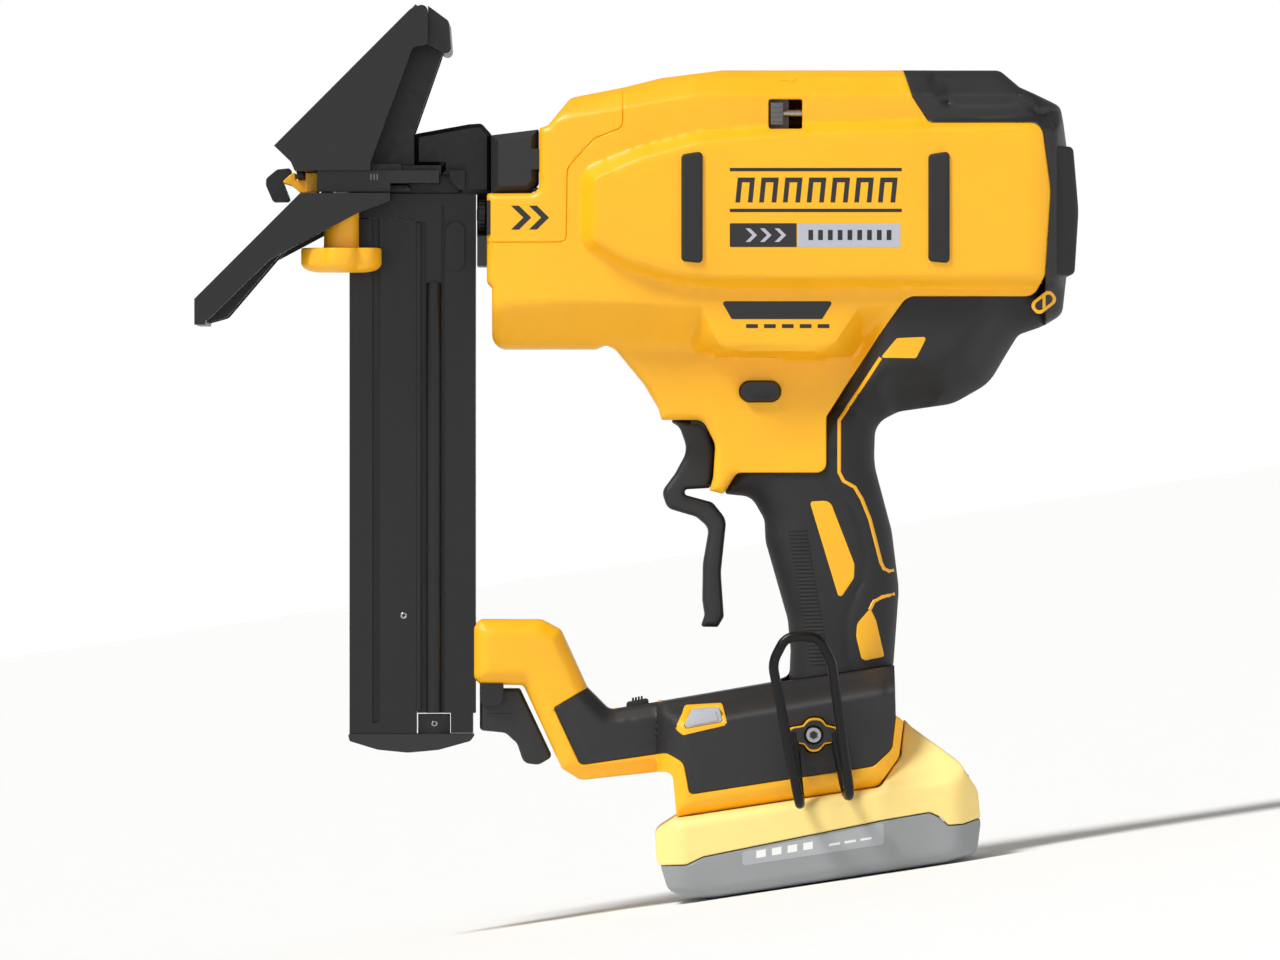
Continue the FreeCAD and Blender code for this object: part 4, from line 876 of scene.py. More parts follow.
def line_patch(name, points, side, material, half=0.65):
    """Raised thin line moulded through the grip."""
    points = np.array(points, float)
    fine = []
    for a, b in zip(points[:-1], points[1:]):
        n = max(1, int(np.linalg.norm(b - a) / 2.0))
        for k in range(n):
            fine.append(a + (b - a) * k / n)
    fine.append(points[-1])
    fine = np.array(fine)
    ahead = np.gradient(fine, axis=0)
    normal = np.stack([-ahead[:, 1], ahead[:, 0]], 1)
    normal /= np.maximum(np.linalg.norm(normal, axis=1), 1e-9)[:, None]
    verts, faces = [], []
    rows = [fine + normal * half, fine + normal * half * 0.5, fine - normal * half * 0.5,
            fine - normal * half]
    lifts = (0.02, 0.3, 0.3, 0.02)
    n = len(fine)
    for row, lift in zip(rows, lifts):
        y = tail_or_grip(row) + lift
        verts += [(p[0], side * v, p[1]) for p, v in zip(row, y)]
    for row in rows[::3]:
        y = tail_or_grip(row) - 1.0
        verts += [(p[0], side * v, p[1]) for p, v in zip(row, y)]
    for i in range(n - 1):
        for r in range(3):
            faces.append((r * n + i, r * n + i + 1, (r + 1) * n + i + 1, (r + 1) * n + i))
        faces.append((i, 4 * n + i, 4 * n + i + 1, i + 1))
        faces.append((3 * n + i, 3 * n + i + 1, 5 * n + i + 1, 5 * n + i))
        faces.append((4 * n + i, 5 * n + i, 5 * n + i + 1, 4 * n + i + 1))
    for i in (0, n - 1):
        faces.append((i, n + i, 2 * n + i, 3 * n + i, 5 * n + i, 4 * n + i))
    return new_object(name, verts, faces, material)


def grip_shells():
    """Black overmould of the handle and the tail."""
    outline = rounded(GRIP)
    for side, word in HALVES:
        holes = screw_holes(outline) if side > 0 else []
        tri = triangulate(outline, holes, [feature("TAIL", TAIL, (1.5, 3.0))], STEP * 1.2)
        obj = shell(word + "_grip_skin", tri, grooved_grip, side, RUBBER, stop_grip, 2.2)
        settle(obj, "housing", [word + "_grip_overmould"], "grip_rubber")


def stop_grip(p):
    """Inner limit of the grip skins, clear of the trigger slot."""
    return np.where(p[:, 0] < 199.5, SLOT_HALF, 0.0)


def grooved_grip(p):
    """Handle skin with the soft groove that runs down its side."""
    return tail_or_grip(p) - groove(p, GRIP_GROOVE, 1.8, 0.8)


GRIP_GROOVE = [(226, 148.5), (233, 143.5), (237.2, 135.5), (239.4, 123.6), (238.4, 115.5),
               (234.6, 107.5), (232.4, 99.7), (233.2, 88), (235.6, 81)]


def cover_shells():
    """Nose cover and rear cover."""
    for name, corners, depth, node, slot_name, material in (
            ("nose_cover_shell", NOSE_COVER, top_depth, "nose_cover", "yellow_shell", YELLOW),
            ("rear_cover_shell", REAR, rear_depth, "rear_cover", "dark_shell", BLACK)):
        outline = rounded(corners)
        parts = []
        for side in (-1, 1):
            holes = screw_holes(outline) if side > 0 and name.startswith("rear") else []
            tri = triangulate(outline, holes, BODY_FEATURES[:2], STEP * 1.2)
            stop = stop_top if name.startswith("nose") else None
            parts.append(shell(name + str(side), tri, depth, side, material, stop))
        settle(merge(name, parts), "housing", [node], slot_name)


def rear_depth(p):
    """Rear cover with its two moulded steps."""
    x, z = p[:, 0], p[:, 1]
    y = body_depth(p) + 0.6
    y = smax(y, tail_depth(p), 4.0)
    upper = np.clip((z - 284.9) / 1.2, 0, 1) * np.clip((x - 266.0) / 2.0, 0, 1)
    upper = np.maximum(upper, np.clip((x - 262.5) / 1.5, 0, 1) * np.clip((z - 291.5) / 2.0, 0, 1))
    y = y - 1.6 * upper
    y = y - groove(p, REAR_SEAM, 1.1, 1.0)
    lower = np.clip((207.8 - z) / 1.2, 0, 1) * (x > 296)
    return y - 0.8 * lower


REAR_SEAM = [(262, 299), (263.5, 294), (265.5, 290.5), (267.2, 287), (270, 285), (285, 284.8),
             (298, 284.0), (303.5, 281.0), (306, 277)]


def bumper_piece():
    """Rubber pad round the rear of the motor housing."""
    outline = rounded(BUMPER, 1.2)
    parts = []
    for side in (-1, 1):
        tri = triangulate(outline, [], [], 1.6)
        parts.append(shell("bumper" + str(side), tri, bumper_depth, side, RUBBER, None, 1.8, 0.8))
    settle(merge("rear_bumper_rubber", parts), "housing", ["rear_bumper"], "grip_rubber")


def bumper_depth(p):
    """Half width of the pad, rounded towards the rear."""
    x = p[:, 0]
    rear = np.clip((x - 303.0) / 13.2, 0, 0.97)
    return 37.0 - 9.0 * (1 - np.sqrt(1 - rear ** 2))


def panel_shells():
    """Black skins on the flanks of the arm and the base."""
    for side, word in HALVES:
        outline = rounded(PANEL)
        holes = [rounded(LENS, 1.0), rounded(POCKET, 1.0)] if side < 0 else []
        tri = triangulate(outline, holes, [feature("PANEL_EDGE", PANEL, (3.6, 4.4))], STEP * 1.2)
        obj = shell(word + "_panel_skin", tri, panel_depth, side, BLACK, stop_low, 2.0)
        settle(obj, "housing", [word + "_base_panel"], "dark_shell")


def panel_depth(p):
    """Skin of the base panels, raised a little inside its border."""
    inner = field("PANEL_EDGE", PANEL, p)
    step = np.clip((inner - 3.4) / 1.2, 0, 1)
    return low_depth(p) - 0.15 + 0.35 * step


def pack_shells():
    """Pale upper case, grey tray of the battery; the terminal tower stays as it is."""
    creases = [feature("PACK", PACK, (1.5, 3.0, 4.5))]
    for name, corners, node, slot_name, material in (
            ("pack_upper_shell", PACK_UPPER, "battery_upper_case", "pack_shell", PACK_YELLOW),
            ("pack_tray_shell", PACK_LOWER, "battery_lower_case", "pack_tray", PACK_GREY)):
        outline = rounded(corners)
        parts = []
        for side in (-1, 1):
            tri = triangulate(outline, [], creases, STEP * 1.4)
            parts.append(shell(name + str(side), tri, pack_depth, side, material, stop_pack, 2.5))
        if node == "battery_upper_case":
            parts.append(tower())
        settle(merge(name, parts), "battery", [node], slot_name)


def stop_pack(p):
    """Room for the sloping release button at the rear of the pack."""
    d = field("BUTTON_ROOM", BUTTON_ROOM, p)
    return np.where(d > -0.6, 17.4, 0.0)


BUTTON_ROOM = [(254, 64.5), (258.8, 60.2), (277.2, 44.9), (282, 44), (282, 60), (262, 72)]
PACK_UPPER = [(171.2, 30.2, 1), (163.8, 25.5, 4), (164.2, 15.0, 4), (165.6, 13.2, 1)]
PACK_UPPER += [(175, 13.6, 3), (181, 16.5, 3), (246, 29.7, 1), (262, 32.4, 2), (266, 30.6, 2)]
PACK_UPPER += [(268.6, 27.8, 1)]
PACK_UPPER += [(274, 28.2, 2), (280.3, 30.4, 0.5), (279.4, 40, 5), (273, 50, 6), (256, 62.4, 3)]
PACK_UPPER += [(253.5, 65.2, 0.5), (251.9, 52.6, 1.5), (244.4, 41.3, 3)]
PACK_LOWER = [(165.8, 12.8, 0.5), (168.5, 4.2, 5), (176.0, 1.2, 5), (186, 1.8, 6), (268, 14.2, 5)]
PACK_LOWER += [(279, 17.6, 4), (280.4, 28, 2), (280.2, 30.0, 0.5), (274, 27.8, 2), (268.6, 27.4, 1)]
PACK_LOWER += [(265.8, 30.2, 2), (262, 32.0, 2), (246, 29.3, 1), (181, 16.1, 3), (175, 13.2, 3)]


def slanted(name, x0, x1, y0, y1, low, high, material, bevel=0.4):
    """Box that lies along the battery rail."""
    corners = [(x0, rail_z(x0) + low), (x1, rail_z(x1) + low), (x1, rail_z(x1) + high),
               (x0, rail_z(x0) + high)]
    return plate(name, corners, y0, y1, material, bevel)


def tower():
    """Terminal tower of the pack with its two rails; black boxes in the blade slots are painted shade
    for their openings.
    """
    parts = [slanted("tower", 180.5, 242.5, -22.4, 22.4, -1.5, 11.2, PACK_GREY)]
    parts.append(slanted("rail_low", 180.5, 242.5, -28.8, 28.8, -1.5, 2.6, PACK_GREY))
    parts.append(slanted("rail_high", 180.5, 242.5, -24.8, 24.8, 7.7, 11.3, PACK_GREY))
    # Black boxes: painted shade standing in for the dark openings of the blade slots.
    for y in BLADE_PLACES:
        parts.append(slanted("slot", 179.9, 206, y - 1.0, y + 1.0, 5.5, 11.4, INK_AND_SHADE_BLACK, 0.1))
    return merge("tower_all", parts)


# ------------------------------------------------------------------ repeated small pieces

def repeat(name, places, piece, material, seed=3):
    """Copies of one piece at many places, each turned at random about the y axis."""
    group = bpy.data.node_groups.new("repeat_piece", "GeometryNodeTree")
    face = group.interface
    face.new_socket("Places", in_out="INPUT", socket_type="NodeSocketGeometry")
    face.new_socket("Piece", in_out="INPUT", socket_type="NodeSocketObject")
    face.new_socket("Finish", in_out="INPUT", socket_type="NodeSocketMaterial")
    face.new_socket("Seed", in_out="INPUT", socket_type="NodeSocketInt")
    face.new_socket("Result", in_out="OUTPUT", socket_type="NodeSocketGeometry")
    given = add(group, "NodeGroupInput")
    turn = add(group, "FunctionNodeRandomValue", {"data_type": "FLOAT_VECTOR"})
    turn.inputs[0].default_value = (0, 0, 0)
    turn.inputs[1].default_value = (0, 6.28, 0)
    group.links.new(given.outputs["Seed"], turn.inputs["Seed"])
    source = add(group, "GeometryNodeObjectInfo", {}, {"Object": given.outputs["Piece"]})
    copies = add(group, "GeometryNodeInstanceOnPoints", {},
                 {"Points": given.outputs["Places"], "Instance": source.outputs["Geometry"]})
    group.links.new(turn.outputs[0], copies.inputs["Rotation"])
    real = add(group, "GeometryNodeRealizeInstances", {}, {"Geometry": copies.outputs["Instances"]})
    finish = add(group, "GeometryNodeSetMaterial", {}, {"Geometry": real.outputs["Geometry"],
                                                         "Material": given.outputs["Finish"]})
    result = add(group, "NodeGroupOutput")
    group.links.new(finish.outputs["Geometry"], result.inputs["Result"])
    mesh = bpy.data.meshes.new(name + "_places")
    mesh.from_pydata([tuple(v) for v in to_row(places)], [], [])
    holder = bpy.data.objects.new(name + "_holder", mesh)
    bpy.context.collection.objects.link(holder)
    modifier = holder.modifiers.new("repeat", "NODES")
    modifier.node_group = group
    names = {i.name: i.identifier for i in face.items_tree if i.in_out == "INPUT"}
    modifier[names["Piece"]] = piece
    modifier[names["Finish"]] = material
    modifier[names["Seed"]] = seed
    bpy.context.view_layer.update()
    graph = bpy.context.evaluated_depsgraph_get()
    made = bpy.data.meshes.new_from_object(holder.evaluated_get(graph))
    holder.modifiers.clear()
    bpy.data.objects.remove(holder)
    bpy.data.objects.remove(piece)
    if not made.materials:
        made.materials.append(material)
    for polygon in made.polygons:
        polygon.use_smooth = True
    obj = bpy.data.objects.new(name, made)
    bpy.context.collection.objects.link(obj)
    return obj


def local_turned(name, profile, material, count=32, star=0):
    """Solid of revolution about the y axis through the origin, in metres."""
    verts = []
    for i, (r, h) in enumerate(profile):
        for k in range(count):
            t = 2 * math.pi * k / count
            lobe = 1.0 + (0.16 * math.cos(6 * t) if star and i >= star else 0.0)
            verts.append((r * lobe * math.cos(t) / 1000, h / 1000, r * lobe * math.sin(t) / 1000))
    mesh = bpy.data.meshes.new(name)
    mesh.from_pydata(verts, [], bands(len(profile), count))
    bm = bmesh.new()
    bm.from_mesh(mesh)
    bmesh.ops.recalc_face_normals(bm, faces=bm.faces)
    bm.to_mesh(mesh)
    bm.free()
    for polygon in mesh.polygons:
        polygon.use_smooth = True
    mesh.materials.append(material)
    obj = bpy.data.objects.new(name, mesh)
    bpy.context.collection.objects.link(obj)
    return obj


def screw_set():
    """Star-recessed screws that clamp the two housing halves."""
    profile = [(0.4, -6.0), (1.5, -5.2), (1.95, -4.4), (1.95, 13.0), (3.3, 13.0), (3.5, 13.3),
               (3.45, 14.4), (3.0, 15.1), (2.2, 15.4), (1.55, 15.4), (1.45, 15.2), (1.3, 14.2),
               (0.2, 14.0)]
    piece = local_turned("screw_piece", profile, STEEL, 36, 9)
    places = [(x, 0.0, z) for x, z in SCREWS]
    settle(repeat("housing_screw_set", places, piece, STEEL), "housing", ["housing_screws"],
           "bright_steel")


# ------------------------------------------------------------------ controls and trim

TRIGGER = [(168, 173.0, 2), (172.6, 170.3, 4), (175.6, 162, 8), (171, 153.5, 6)]
TRIGGER += [(166.2, 147, 4), (168.2, 141, 4), (178.5, 138, 4), (183.2, 134, 4), (181, 121, 20)]
TRIGGER += [(180.8, 108, 10), (181.6, 102.5, 3), (180.2, 98.4, 0.8), (186.4, 98.3, 1.2)]
TRIGGER += [(188.6, 102, 2), (187.5, 118, 20), (189.5, 137, 6), (184.5, 143.2, 3)]
TRIGGER += [(174.5, 145.9, 1), (174.6, 147.8, 1), (183.5, 148.3, 1), (185.0, 152, 3)]
TRIGGER += [(186.0, 162, 6), (183.5, 170, 4), (180, 173.0, 2)]


def trigger_piece():
    """One black moulding: finger hook above, long curved blade below."""
    outline = rounded(TRIGGER, 1.2)
    parts = []

    def depth(p):
        return 7.6 - edge_drop(np.maximum(distance(p, outline), 0), 2.6)

    tri = triangulate(outline, [], [], 1.6)
    for side in (-1, 1):
        parts.append(shell("trigger_half", tri, depth, side, BLACK, None, 30.0, 0.0))
    parts.append(turned("trigger_hub", [(2.2, -7.4), (4.0, -7.4), (4.2, -7.1), (4.2, 7.1), (4.0, 7.4),
                                        (2.2, 7.4)], (180.2, 0, 178.6), (0, 1, 0), BLACK))
    parts.append(plate("trigger_neck", [(176.6, 167), (182.8, 167), (182.8, 178), (176.6, 178)],
                       -7.4, 7.4, BLACK, 0.4))
    settle(merge("trigger_lever", parts), "trigger", ["trigger"], "dark_shell")


def lock_off_piece():
    """Cross bar of the lock-off button with dished ends."""
    ring = oval(*BUTTON_AT, 7.2, 3.55, 40)
    verts = []
    centre = np.array(BUTTON_AT)
    rows = [(0.0, -20.6), (0.55, -20.6), (0.8, -21.0), (0.93, -21.0), (1.0, -20.4), (1.0, -14.8),
            (1.12, -14.7), (1.12, -13.2), (1.0, -13.1), (1.0, 11.0), (1.12, 11.1), (1.12, 12.4),
            (1.0, 12.5), (1.0, 17.8), (0.93, 18.4), (0.8, 18.4), (0.55, 18.0), (0.0, 18.0)]
    for share, y in rows:
        for p in ring:
            q = centre + (p - centre) * max(share, 0.02)
            verts.append((q[0], y, q[1]))
    bar = new_object("lock_off_bar", verts, bands(len(rows), len(ring)), BLACK)
    settle(bar, "lock_off", ["lock_off_button"], "dark_shell")


def strip_pieces():
    """Rubber strips let into the flanks of the motor housing."""
    parts = []
    for side in (-1, 1):
        for x0, x1 in ((173, 181), (261.3, 269.3)):
            corners = [(x0 + 0.2, 229.4, 1.6), (x1 - 0.2, 228.7, 1.6), (x1 - 0.2, 268.8, 1.6),
                       (x0 + 0.2, 267.6, 1.6)]
            outline = rounded(corners, 1.0)
            tri = triangulate(outline, [], [], 1.6)
            parts.append(skin("strip", tri, strip_depth, side, RUBBER, 0.0, -1.5, 0.9))
    settle(merge("flank_strips", parts), "housing", ["side_bumper_strips"], "grip_rubber")


def strip_depth(p):
    """Face of the side strips, just proud of the housing."""
    return np.minimum(top_depth(p) + 1.3, 42.1)


def shape_at(points, x, z, scale=1.0, slant=0.0):
    """A small printed shape moved to its place, scaled and leaned."""
    return [(x + (along + slant * up) * scale, z + up * scale) for along, up in points]


STAPLE = [(-2.9, -4.2), (-1.3, -4.2), (-1.3, 2.6), (1.3, 2.6), (1.3, -4.2), (2.9, -4.2)]
STAPLE += [(2.9, 4.2), (-2.9, 4.2)]
CHEVRON = [(-2.2, -3.9), (0.4, -3.9), (4.4, 0), (0.4, 3.9), (-2.2, 3.9), (1.8, 0)]


def prints():
    """Printed marks of the flanks: rules, a row of staples, a strip label, a badge, a chevron."""
    for side, word in HALVES:
        parts = []

        def mark(corners, material, lift=0.07):
            parts.append(patch("mark", corners, top_depth, side, material, lift, -0.3, 2.5, 0.0))

        for z in (247.6, 262.2):
            mark([(190.5, z - 0.6), (252, z - 0.6), (252, z + 0.6), (190.5, z + 0.6)], INK_AND_SHADE_BLACK)
        for i in range(7):
            mark(shape_at(STAPLE, 196.0 + 8.5 * i, 254.9, 1.06, 0.1), INK_AND_SHADE_BLACK)
        mark([(190.5, 234.5, 0.4), (214.4, 234.5), (214.4, 243), (190.5, 243, 0.4)], INK_AND_SHADE_BLACK)
        mark([(214.9, 234.5), (251.5, 234.5, 0.4), (251.5, 243, 0.4), (214.9, 243)], INK_SILVER)
        for i in range(3):
            mark(shape_at(CHEVRON, 197.5 + 5.2 * i, 238.75, 0.62), INK_SILVER, 0.12)
        for i in range(9):
            x = 218.6 + 3.5 * i
            mark([(x, 237.0), (x + 1.7, 237.0), (x + 1.7, 240.6), (x, 240.6)], INK_AND_SHADE_BLACK, 0.12)
        for i in range(2):
            mark(shape_at(CHEVRON, 114.6 + 6.4 * i, 245.2, 1.1), INK_AND_SHADE_BLACK)
        badge = [(187.6, 215.2, 0.8), (227.6, 215.2, 0.8), (223.6, 208.8, 0.8), (191.2, 208.8, 0.8)]
        parts.append(patch("badge", badge, top_depth, side, INK_AND_SHADE_BLACK, 0.07, -0.3, 1.2, 0.0))
        for i in range(5):
            x = 196.4 + 6.4 * i
            mark([(x, 205.6), (x + 4.2, 205.6), (x + 4.2, 207.0), (x, 207.0)], INK_AND_SHADE_BLACK)
        settle(merge(word + "_print", parts), "housing", [], "yellow_shell")


def grip_ribs():
    """Fine ribs across the front of the handle."""
    for side, word in HALVES:
        parts = []
        for i in range(36):
            z = 133.0 - 1.37 * i
            front = 203.6 + (133.0 - z) * 0.168
            points = [(front + 8.0, z), (front + 11.0, z + 0.1), (front + 14.5, z + 0.2)]
            parts.append(line_patch("rib", points, side, RUBBER, 0.42))
        settle(merge(word + "_grip_ribs", parts), "housing", [], "grip_rubber")


def stall_release():
    """Grey slide in its window, ribbed for the thumb."""
    parts = [plate("slide", [(205.2, 278.3, 0.4), (209.7, 278.3, 0.4), (209.7, 286.3, 0.4),
                             (205.2, 286.3, 0.4)], -32.8, -27.0, SLIDE_GREY, 0.35)]
    for i in range(4):
        z = 279.4 + 1.7 * i
        parts.append(plate("rib", [(205.6, z), (209.3, z), (209.3, z + 0.7), (205.6, z + 0.7)],
                           -33.0, -32.4, SLIDE_GREY, 0.15))
    parts.append(plate("foot", [(203.8, 275.2), (211.8, 275.2), (211.8, 289.0), (203.8, 289.0)],
                       -27.7, -25.4, SLIDE_GREY, 0.3))
    settle(merge("stall_slide", parts), "stall_release", ["stall_release_slider"], "grey_plastic")


LENS_BLOCK = [(173.6, 61.9, 1), (176.8, 69.2, 1), (186.8, 70.0, 1), (188.2, 64.5, 1)]


def lens_piece():
    """Lens of the work lamp with its bright face."""
    inner = [(176.2, 63.0, 0.6), (178.2, 68.0, 0.6), (185.6, 68.6, 0.6), (186.4, 65.2, 0.6)]
    parts = [plate("lens_block", LENS_BLOCK, -34.0, -30.2, LENS_MATERIAL, 0.5)]
    parts.append(plate("lens_chip", inner, -34.3, -33.6, INK_SILVER, 0.2))
    settle(merge("lamp_lens", parts), "housing", ["led_lens"], "clear_lens")


def lens_frame():
    """Yellow frame standing round the lamp, tied into the flank of the base."""
    outer = rounded([(170.6, 62.0, 1.2), (174.6, 70.6, 1.2), (188.0, 71.4, 1.2),
                     (190.0, 63.4, 1.2), (173.8, 59.6, 1.2)], 1.0)
    hole = rounded(LENS_BLOCK, 1.0)
    tri = triangulate(outer, [hole], [], 2.0)
    obj = skin("lamp_frame", tri, low_depth, -1, YELLOW, 0.25, -3.0, 0.3)
    settle(obj, "housing", [], "yellow_shell")


# ------------------------------------------------------------------ nose, feet and magazine

def knob_piece():
    """Six-lobed clamp knob."""
    count = 96
    radius = 15.1
    rows = [(0.30, 225.6, 0), (0.60, 225.6, 0.2), (0.80, 226.1, 0.6), (0.93, 227.0, 1),
            (0.98, 228.0, 1), (1.0, 228.8, 1), (1.0, 233.6, 1), (0.985, 234.1, 1), (0.95, 234.3, 1),
            (0.75, 234.3, 0.7), (0.50, 234.3, 0.1), (0.42, 234.6, 0), (0.415, 236, 0),
            (0.415, 249.5, 0), (0.40, 250.3, 0), (0.2, 250.4, 0)]
    verts = []
    for share, z, lobe in rows:
        for k in range(count):
            t = 2 * math.pi * k / count
            wave = 1.0 - 0.13 * lobe * (0.5 + 0.5 * math.cos(6 * t)) ** 3
            r = radius * share * wave
            verts.append((KNOB_AT[0] + r * math.cos(t), KNOB_AT[1] + r * math.sin(t), z))
    knob = new_object("knob_grip", verts, bands(len(rows), count), YELLOW)
    settle(knob, "clamp", ["clamp_knob"], "yellow_shell")


def pointer_piece():
    """Yellow pointer over the prongs, on a dark bar that runs back under the plate."""
    front = [(30.3, 257.9, 0.3), (30.2, 258.8, 0.4), (33.4, 261.5, 0.5), (34.6, 261.5, 0.3)]
    front += [(34.6, 259.0, 0.2), (38.3, 259.0, 0.2), (38.3, 261.5, 0.3), (42.7, 261.5, 0.6)]
    front += [(42.7, 254.5, 0.6), (36.2, 254.5, 1), (33.2, 257.0, 0.6)]
    rear = [(38.4, 261.5, 0.3), (42.7, 261.5, 0.6), (42.7, 254.5, 0.6), (38.4, 254.5, 0.2)]
    parts = []
    for y0, y1 in ((-11.2, -4.7), (4.7, 11.2)):
        parts.append(plate("pointer", front, y0, y1, YELLOW, 0.35, (), 1.0))
    for y0, y1 in ((-17.8, -11.3), (11.3, 17.8)):
        parts.append(plate("shoulder", rear, y0, y1, YELLOW, 0.35, (), 1.5))
    parts.append(plate("bridge", [(38.5, 259.6), (42.5, 259.6), (42.5, 261.4), (38.5, 261.4)],
                       -11.4, 11.4, YELLOW, 0.2))
    parts.append(plate("trip_bar", [(42.4, 254.7), (75.8, 254.7), (75.8, 257.1), (42.4, 257.1)],
                       -17.5, -10.5, ECOAT, 0.2))
    settle(merge("trip_pointer", parts), "contact_trip", ["contact_carrier"], "yellow_shell")
    tabs = [plate("tab", [(35.0, 259.3, 0.2), (38.1, 259.3, 0.2), (38.1, 262.3), (35.0, 262.3)],
                  y0, y0 + 1.4, ECOAT, 0.2) for y0 in (-12.9, 11.5)]
    settle(merge("foot_tabs", tabs), "housing", [], "black_steel")


def magazine_screws():
    """Small screws let into the flank of the magazine and its catch."""
    profile = [(0.3, -0.9), (1.1, -0.9), (1.2, 0.0), (1.15, 0.12), (0.7, 0.15), (0.6, 0.14),
               (0.5, -0.25), (0.1, -0.3)]
    flipped = [(r, -h) for r, h in profile]
    for name, single, place, seed in (
            ("slide_screw", "magazine_screw", (73.5, -11.0, 102.5), 5),
            ("catch_screws", "catch_screw", (84.5, -8.0, 63.6), 6)):
        piece = local_turned(single, flipped, STEEL, 24, 5)
        settle(repeat(name, [place], piece, STEEL, seed), "magazine_slide", [], "bright_steel")


def selector_marks():
    """Yellow ticks either side of the mode selector."""
    parts = []
    for x in (149.4, 165.6):
        z = 68.9 + (x - 149.4) * 0.178
        corners = [(x - 0.7, z - 0.6), (x + 0.7, z - 0.36), (x + 0.7, z + 0.3), (x - 0.7, z + 0.06)]
        parts.append(plate("tick", corners, -7.0, 7.0, YELLOW, 0.1))
    settle(merge("selector_ticks", parts), "housing", [], "yellow_shell")


def wheel_piece():
    """Ribbed thumbwheel of the depth adjustment, open at its screw."""
    count = 144
    radius = 6.4
    rows = [(0.33, 100.0, 0), (0.78, 100.0, 0), (0.9, 100.2, 0.4), (1.0, 100.5, 1),
            (1.0, 102.7, 1), (0.9, 103.1, 0.4), (0.33, 103.1, 0)]
    verts, faces = [], []
    for share, x, lobe in rows:
        for k in range(count):
            t = 2 * math.pi * k / count
            r = radius * share * (1 - 0.05 * lobe * (0.5 - 0.5 * math.cos(24 * t)))
            verts.append((x, WHEEL_AT[0] + r * math.cos(t), WHEEL_AT[1] + r * math.sin(t)))
    n = len(rows)
    for i in range(n):
        for k in range(count):
            a, b = i * count + k, i * count + (k + 1) % count
            c, d = ((i + 1) % n) * count + (k + 1) % count, ((i + 1) % n) * count + k
            faces.append((a, b, c, d))
    settle(new_object("depth_thumbwheel", verts, faces, BLACK), "depth_wheel", ["depth_wheel"],
           "dark_shell")


def bend_path(points, radii, step=1.0):
    """Points along a bent wire with rounded corners in space."""
    points = [np.array(p, float) for p in points]
    path = [points[0]]
    for i in range(1, len(points) - 1):
        a = points[i - 1] - points[i]
        b = points[i + 1] - points[i]
        la, lb = np.linalg.norm(a), np.linalg.norm(b)
        a, b = a / la, b / lb
        half = math.acos(max(-1.0, min(1.0, float(a @ b)))) / 2
        reach = min(radii[i] / math.tan(half), 0.49 * min(la, lb))
        radius = reach * math.tan(half)
        middle = (a + b) / np.linalg.norm(a + b)
        centre = points[i] + middle * radius / math.sin(half)
        start = points[i] + a * reach - centre
        end = points[i] + b * reach - centre
        angle = math.pi - 2 * half
        n = max(3, int(angle * radius / step) + 1)
        for k in range(n + 1):
            t = k / n
            w0 = math.sin((1 - t) * angle) / math.sin(angle)
            w1 = math.sin(t * angle) / math.sin(angle)
            path.append(centre + start * w0 + end * w1)
    path.append(points[-1])
    dense = [path[0]]
    for p in path[1:]:
        gap = np.linalg.norm(p - dense[-1])
        n = max(1, int(gap / 4.0))
        last = dense[-1]
        for k in range(1, n + 1):
            dense.append(last + (p - last) * k / n)
    return np.array(dense)


def hook_pieces():
    """Bent wire of the belt hook, its clamp plate and the screw."""
    near, far = -40.2, -53.5
    points = [(213.2, near, 61), (215.6, near, 36), (215.4, far, 35.2), (205.6, far, 86),
              (210.5, far, 95.4), (222, far, 95.4), (226.8, far, 86), (233.4, far, 38.5),
              (232.2, near, 38.5), (227.8, near, 61)]
    radii = [0, 5, 5, 10, 6, 6, 10, 5, 5, 0]
    wire = tube("hook_wire", bend_path(points, radii), HOOK_WIRE_RADIUS, WIRE, 18)
    settle(wire, "housing", ["belt_hook"], "wire_steel")
    hx, hz = HOOK_AT
    axis_point = (hx, 0, hz)
    hole = [[tuple(p) for p in circle(hx, hz, 3.5, 24)]]

    def pocket_plate(share, y0, y1, material):
        ring = []
        for x, z, radius in POCKET:
            ring.append((x + (hx - x) * share, z + (hz - z) * share * 1.6, radius))
        return plate("hook_plate", ring, y0, y1, material, 0.3, hole)

    block = merge("hook_block", [pocket_plate(0.03, -40.9, -31.2, YELLOW),
                                 pocket_plate(0.11, -41.6, -40.7, BLACK)])
    cup = turned("hook_cup", [(0.5, -39.2), (3.6, -39.2), (3.6, -31.4), (0.5, -31.4)], axis_point,
                 (0, 1, 0), BLACK)
    settle(merge("hook_clamp", [block, cup]), "housing", ["belt_hook_bracket"], "dark_shell")
    head = turned("hook_screw_head", [(0.6, -41.4), (1.5, -41.5), (1.6, -41.6), (2.6, -41.6),
                                      (3.1, -41.0), (3.1, -39.7), (1.6, -39.5), (1.6, -31.5),
                                      (0.4, -31.2)], axis_point, (0, 1, 0), STEEL)
    # Black disc over the screw head: painted shade standing in for the drive recess.
    recess = turned("hook_recess", [(0.3, -41.65), (1.45, -41.65), (1.3, -41.2), (0.3, -41.2)],
                    axis_point, (0, 1, 0), INK_AND_SHADE_BLACK, 6)
    settle(merge("hook_screw", [head, recess]), "housing", ["belt_hook_screw"], "bright_steel")


def latch_piece():
    """Ribbed lever of the magazine latch."""
    side = [(100.8, 76.2, 2), (100.8, 61.2, 1.5), (110, 60.3, 3), (114.2, 56.5, 3)]
    side += [(116.6, 49.4, 3), (122, 48.8, 3), (126.8, 51.6, 1.5), (115.2, 76.2, 1)]
    parts = [plate("latch_body", side, -9.4, 9.4, BLACK, 1.4)]
    for y0 in (-9.5, 9.1):
        for z in (66.4, 73.2):
            ribs = [(102.0, z), (113.4, z), (113.4, z + 1.0), (102.0, z + 1.0)]
            parts.append(plate("latch_rib", ribs, y0, y0 + 0.4, BLACK, 0.15))
    settle(merge("latch_lever", parts), "latch", ["magazine_latch"], "dark_shell")


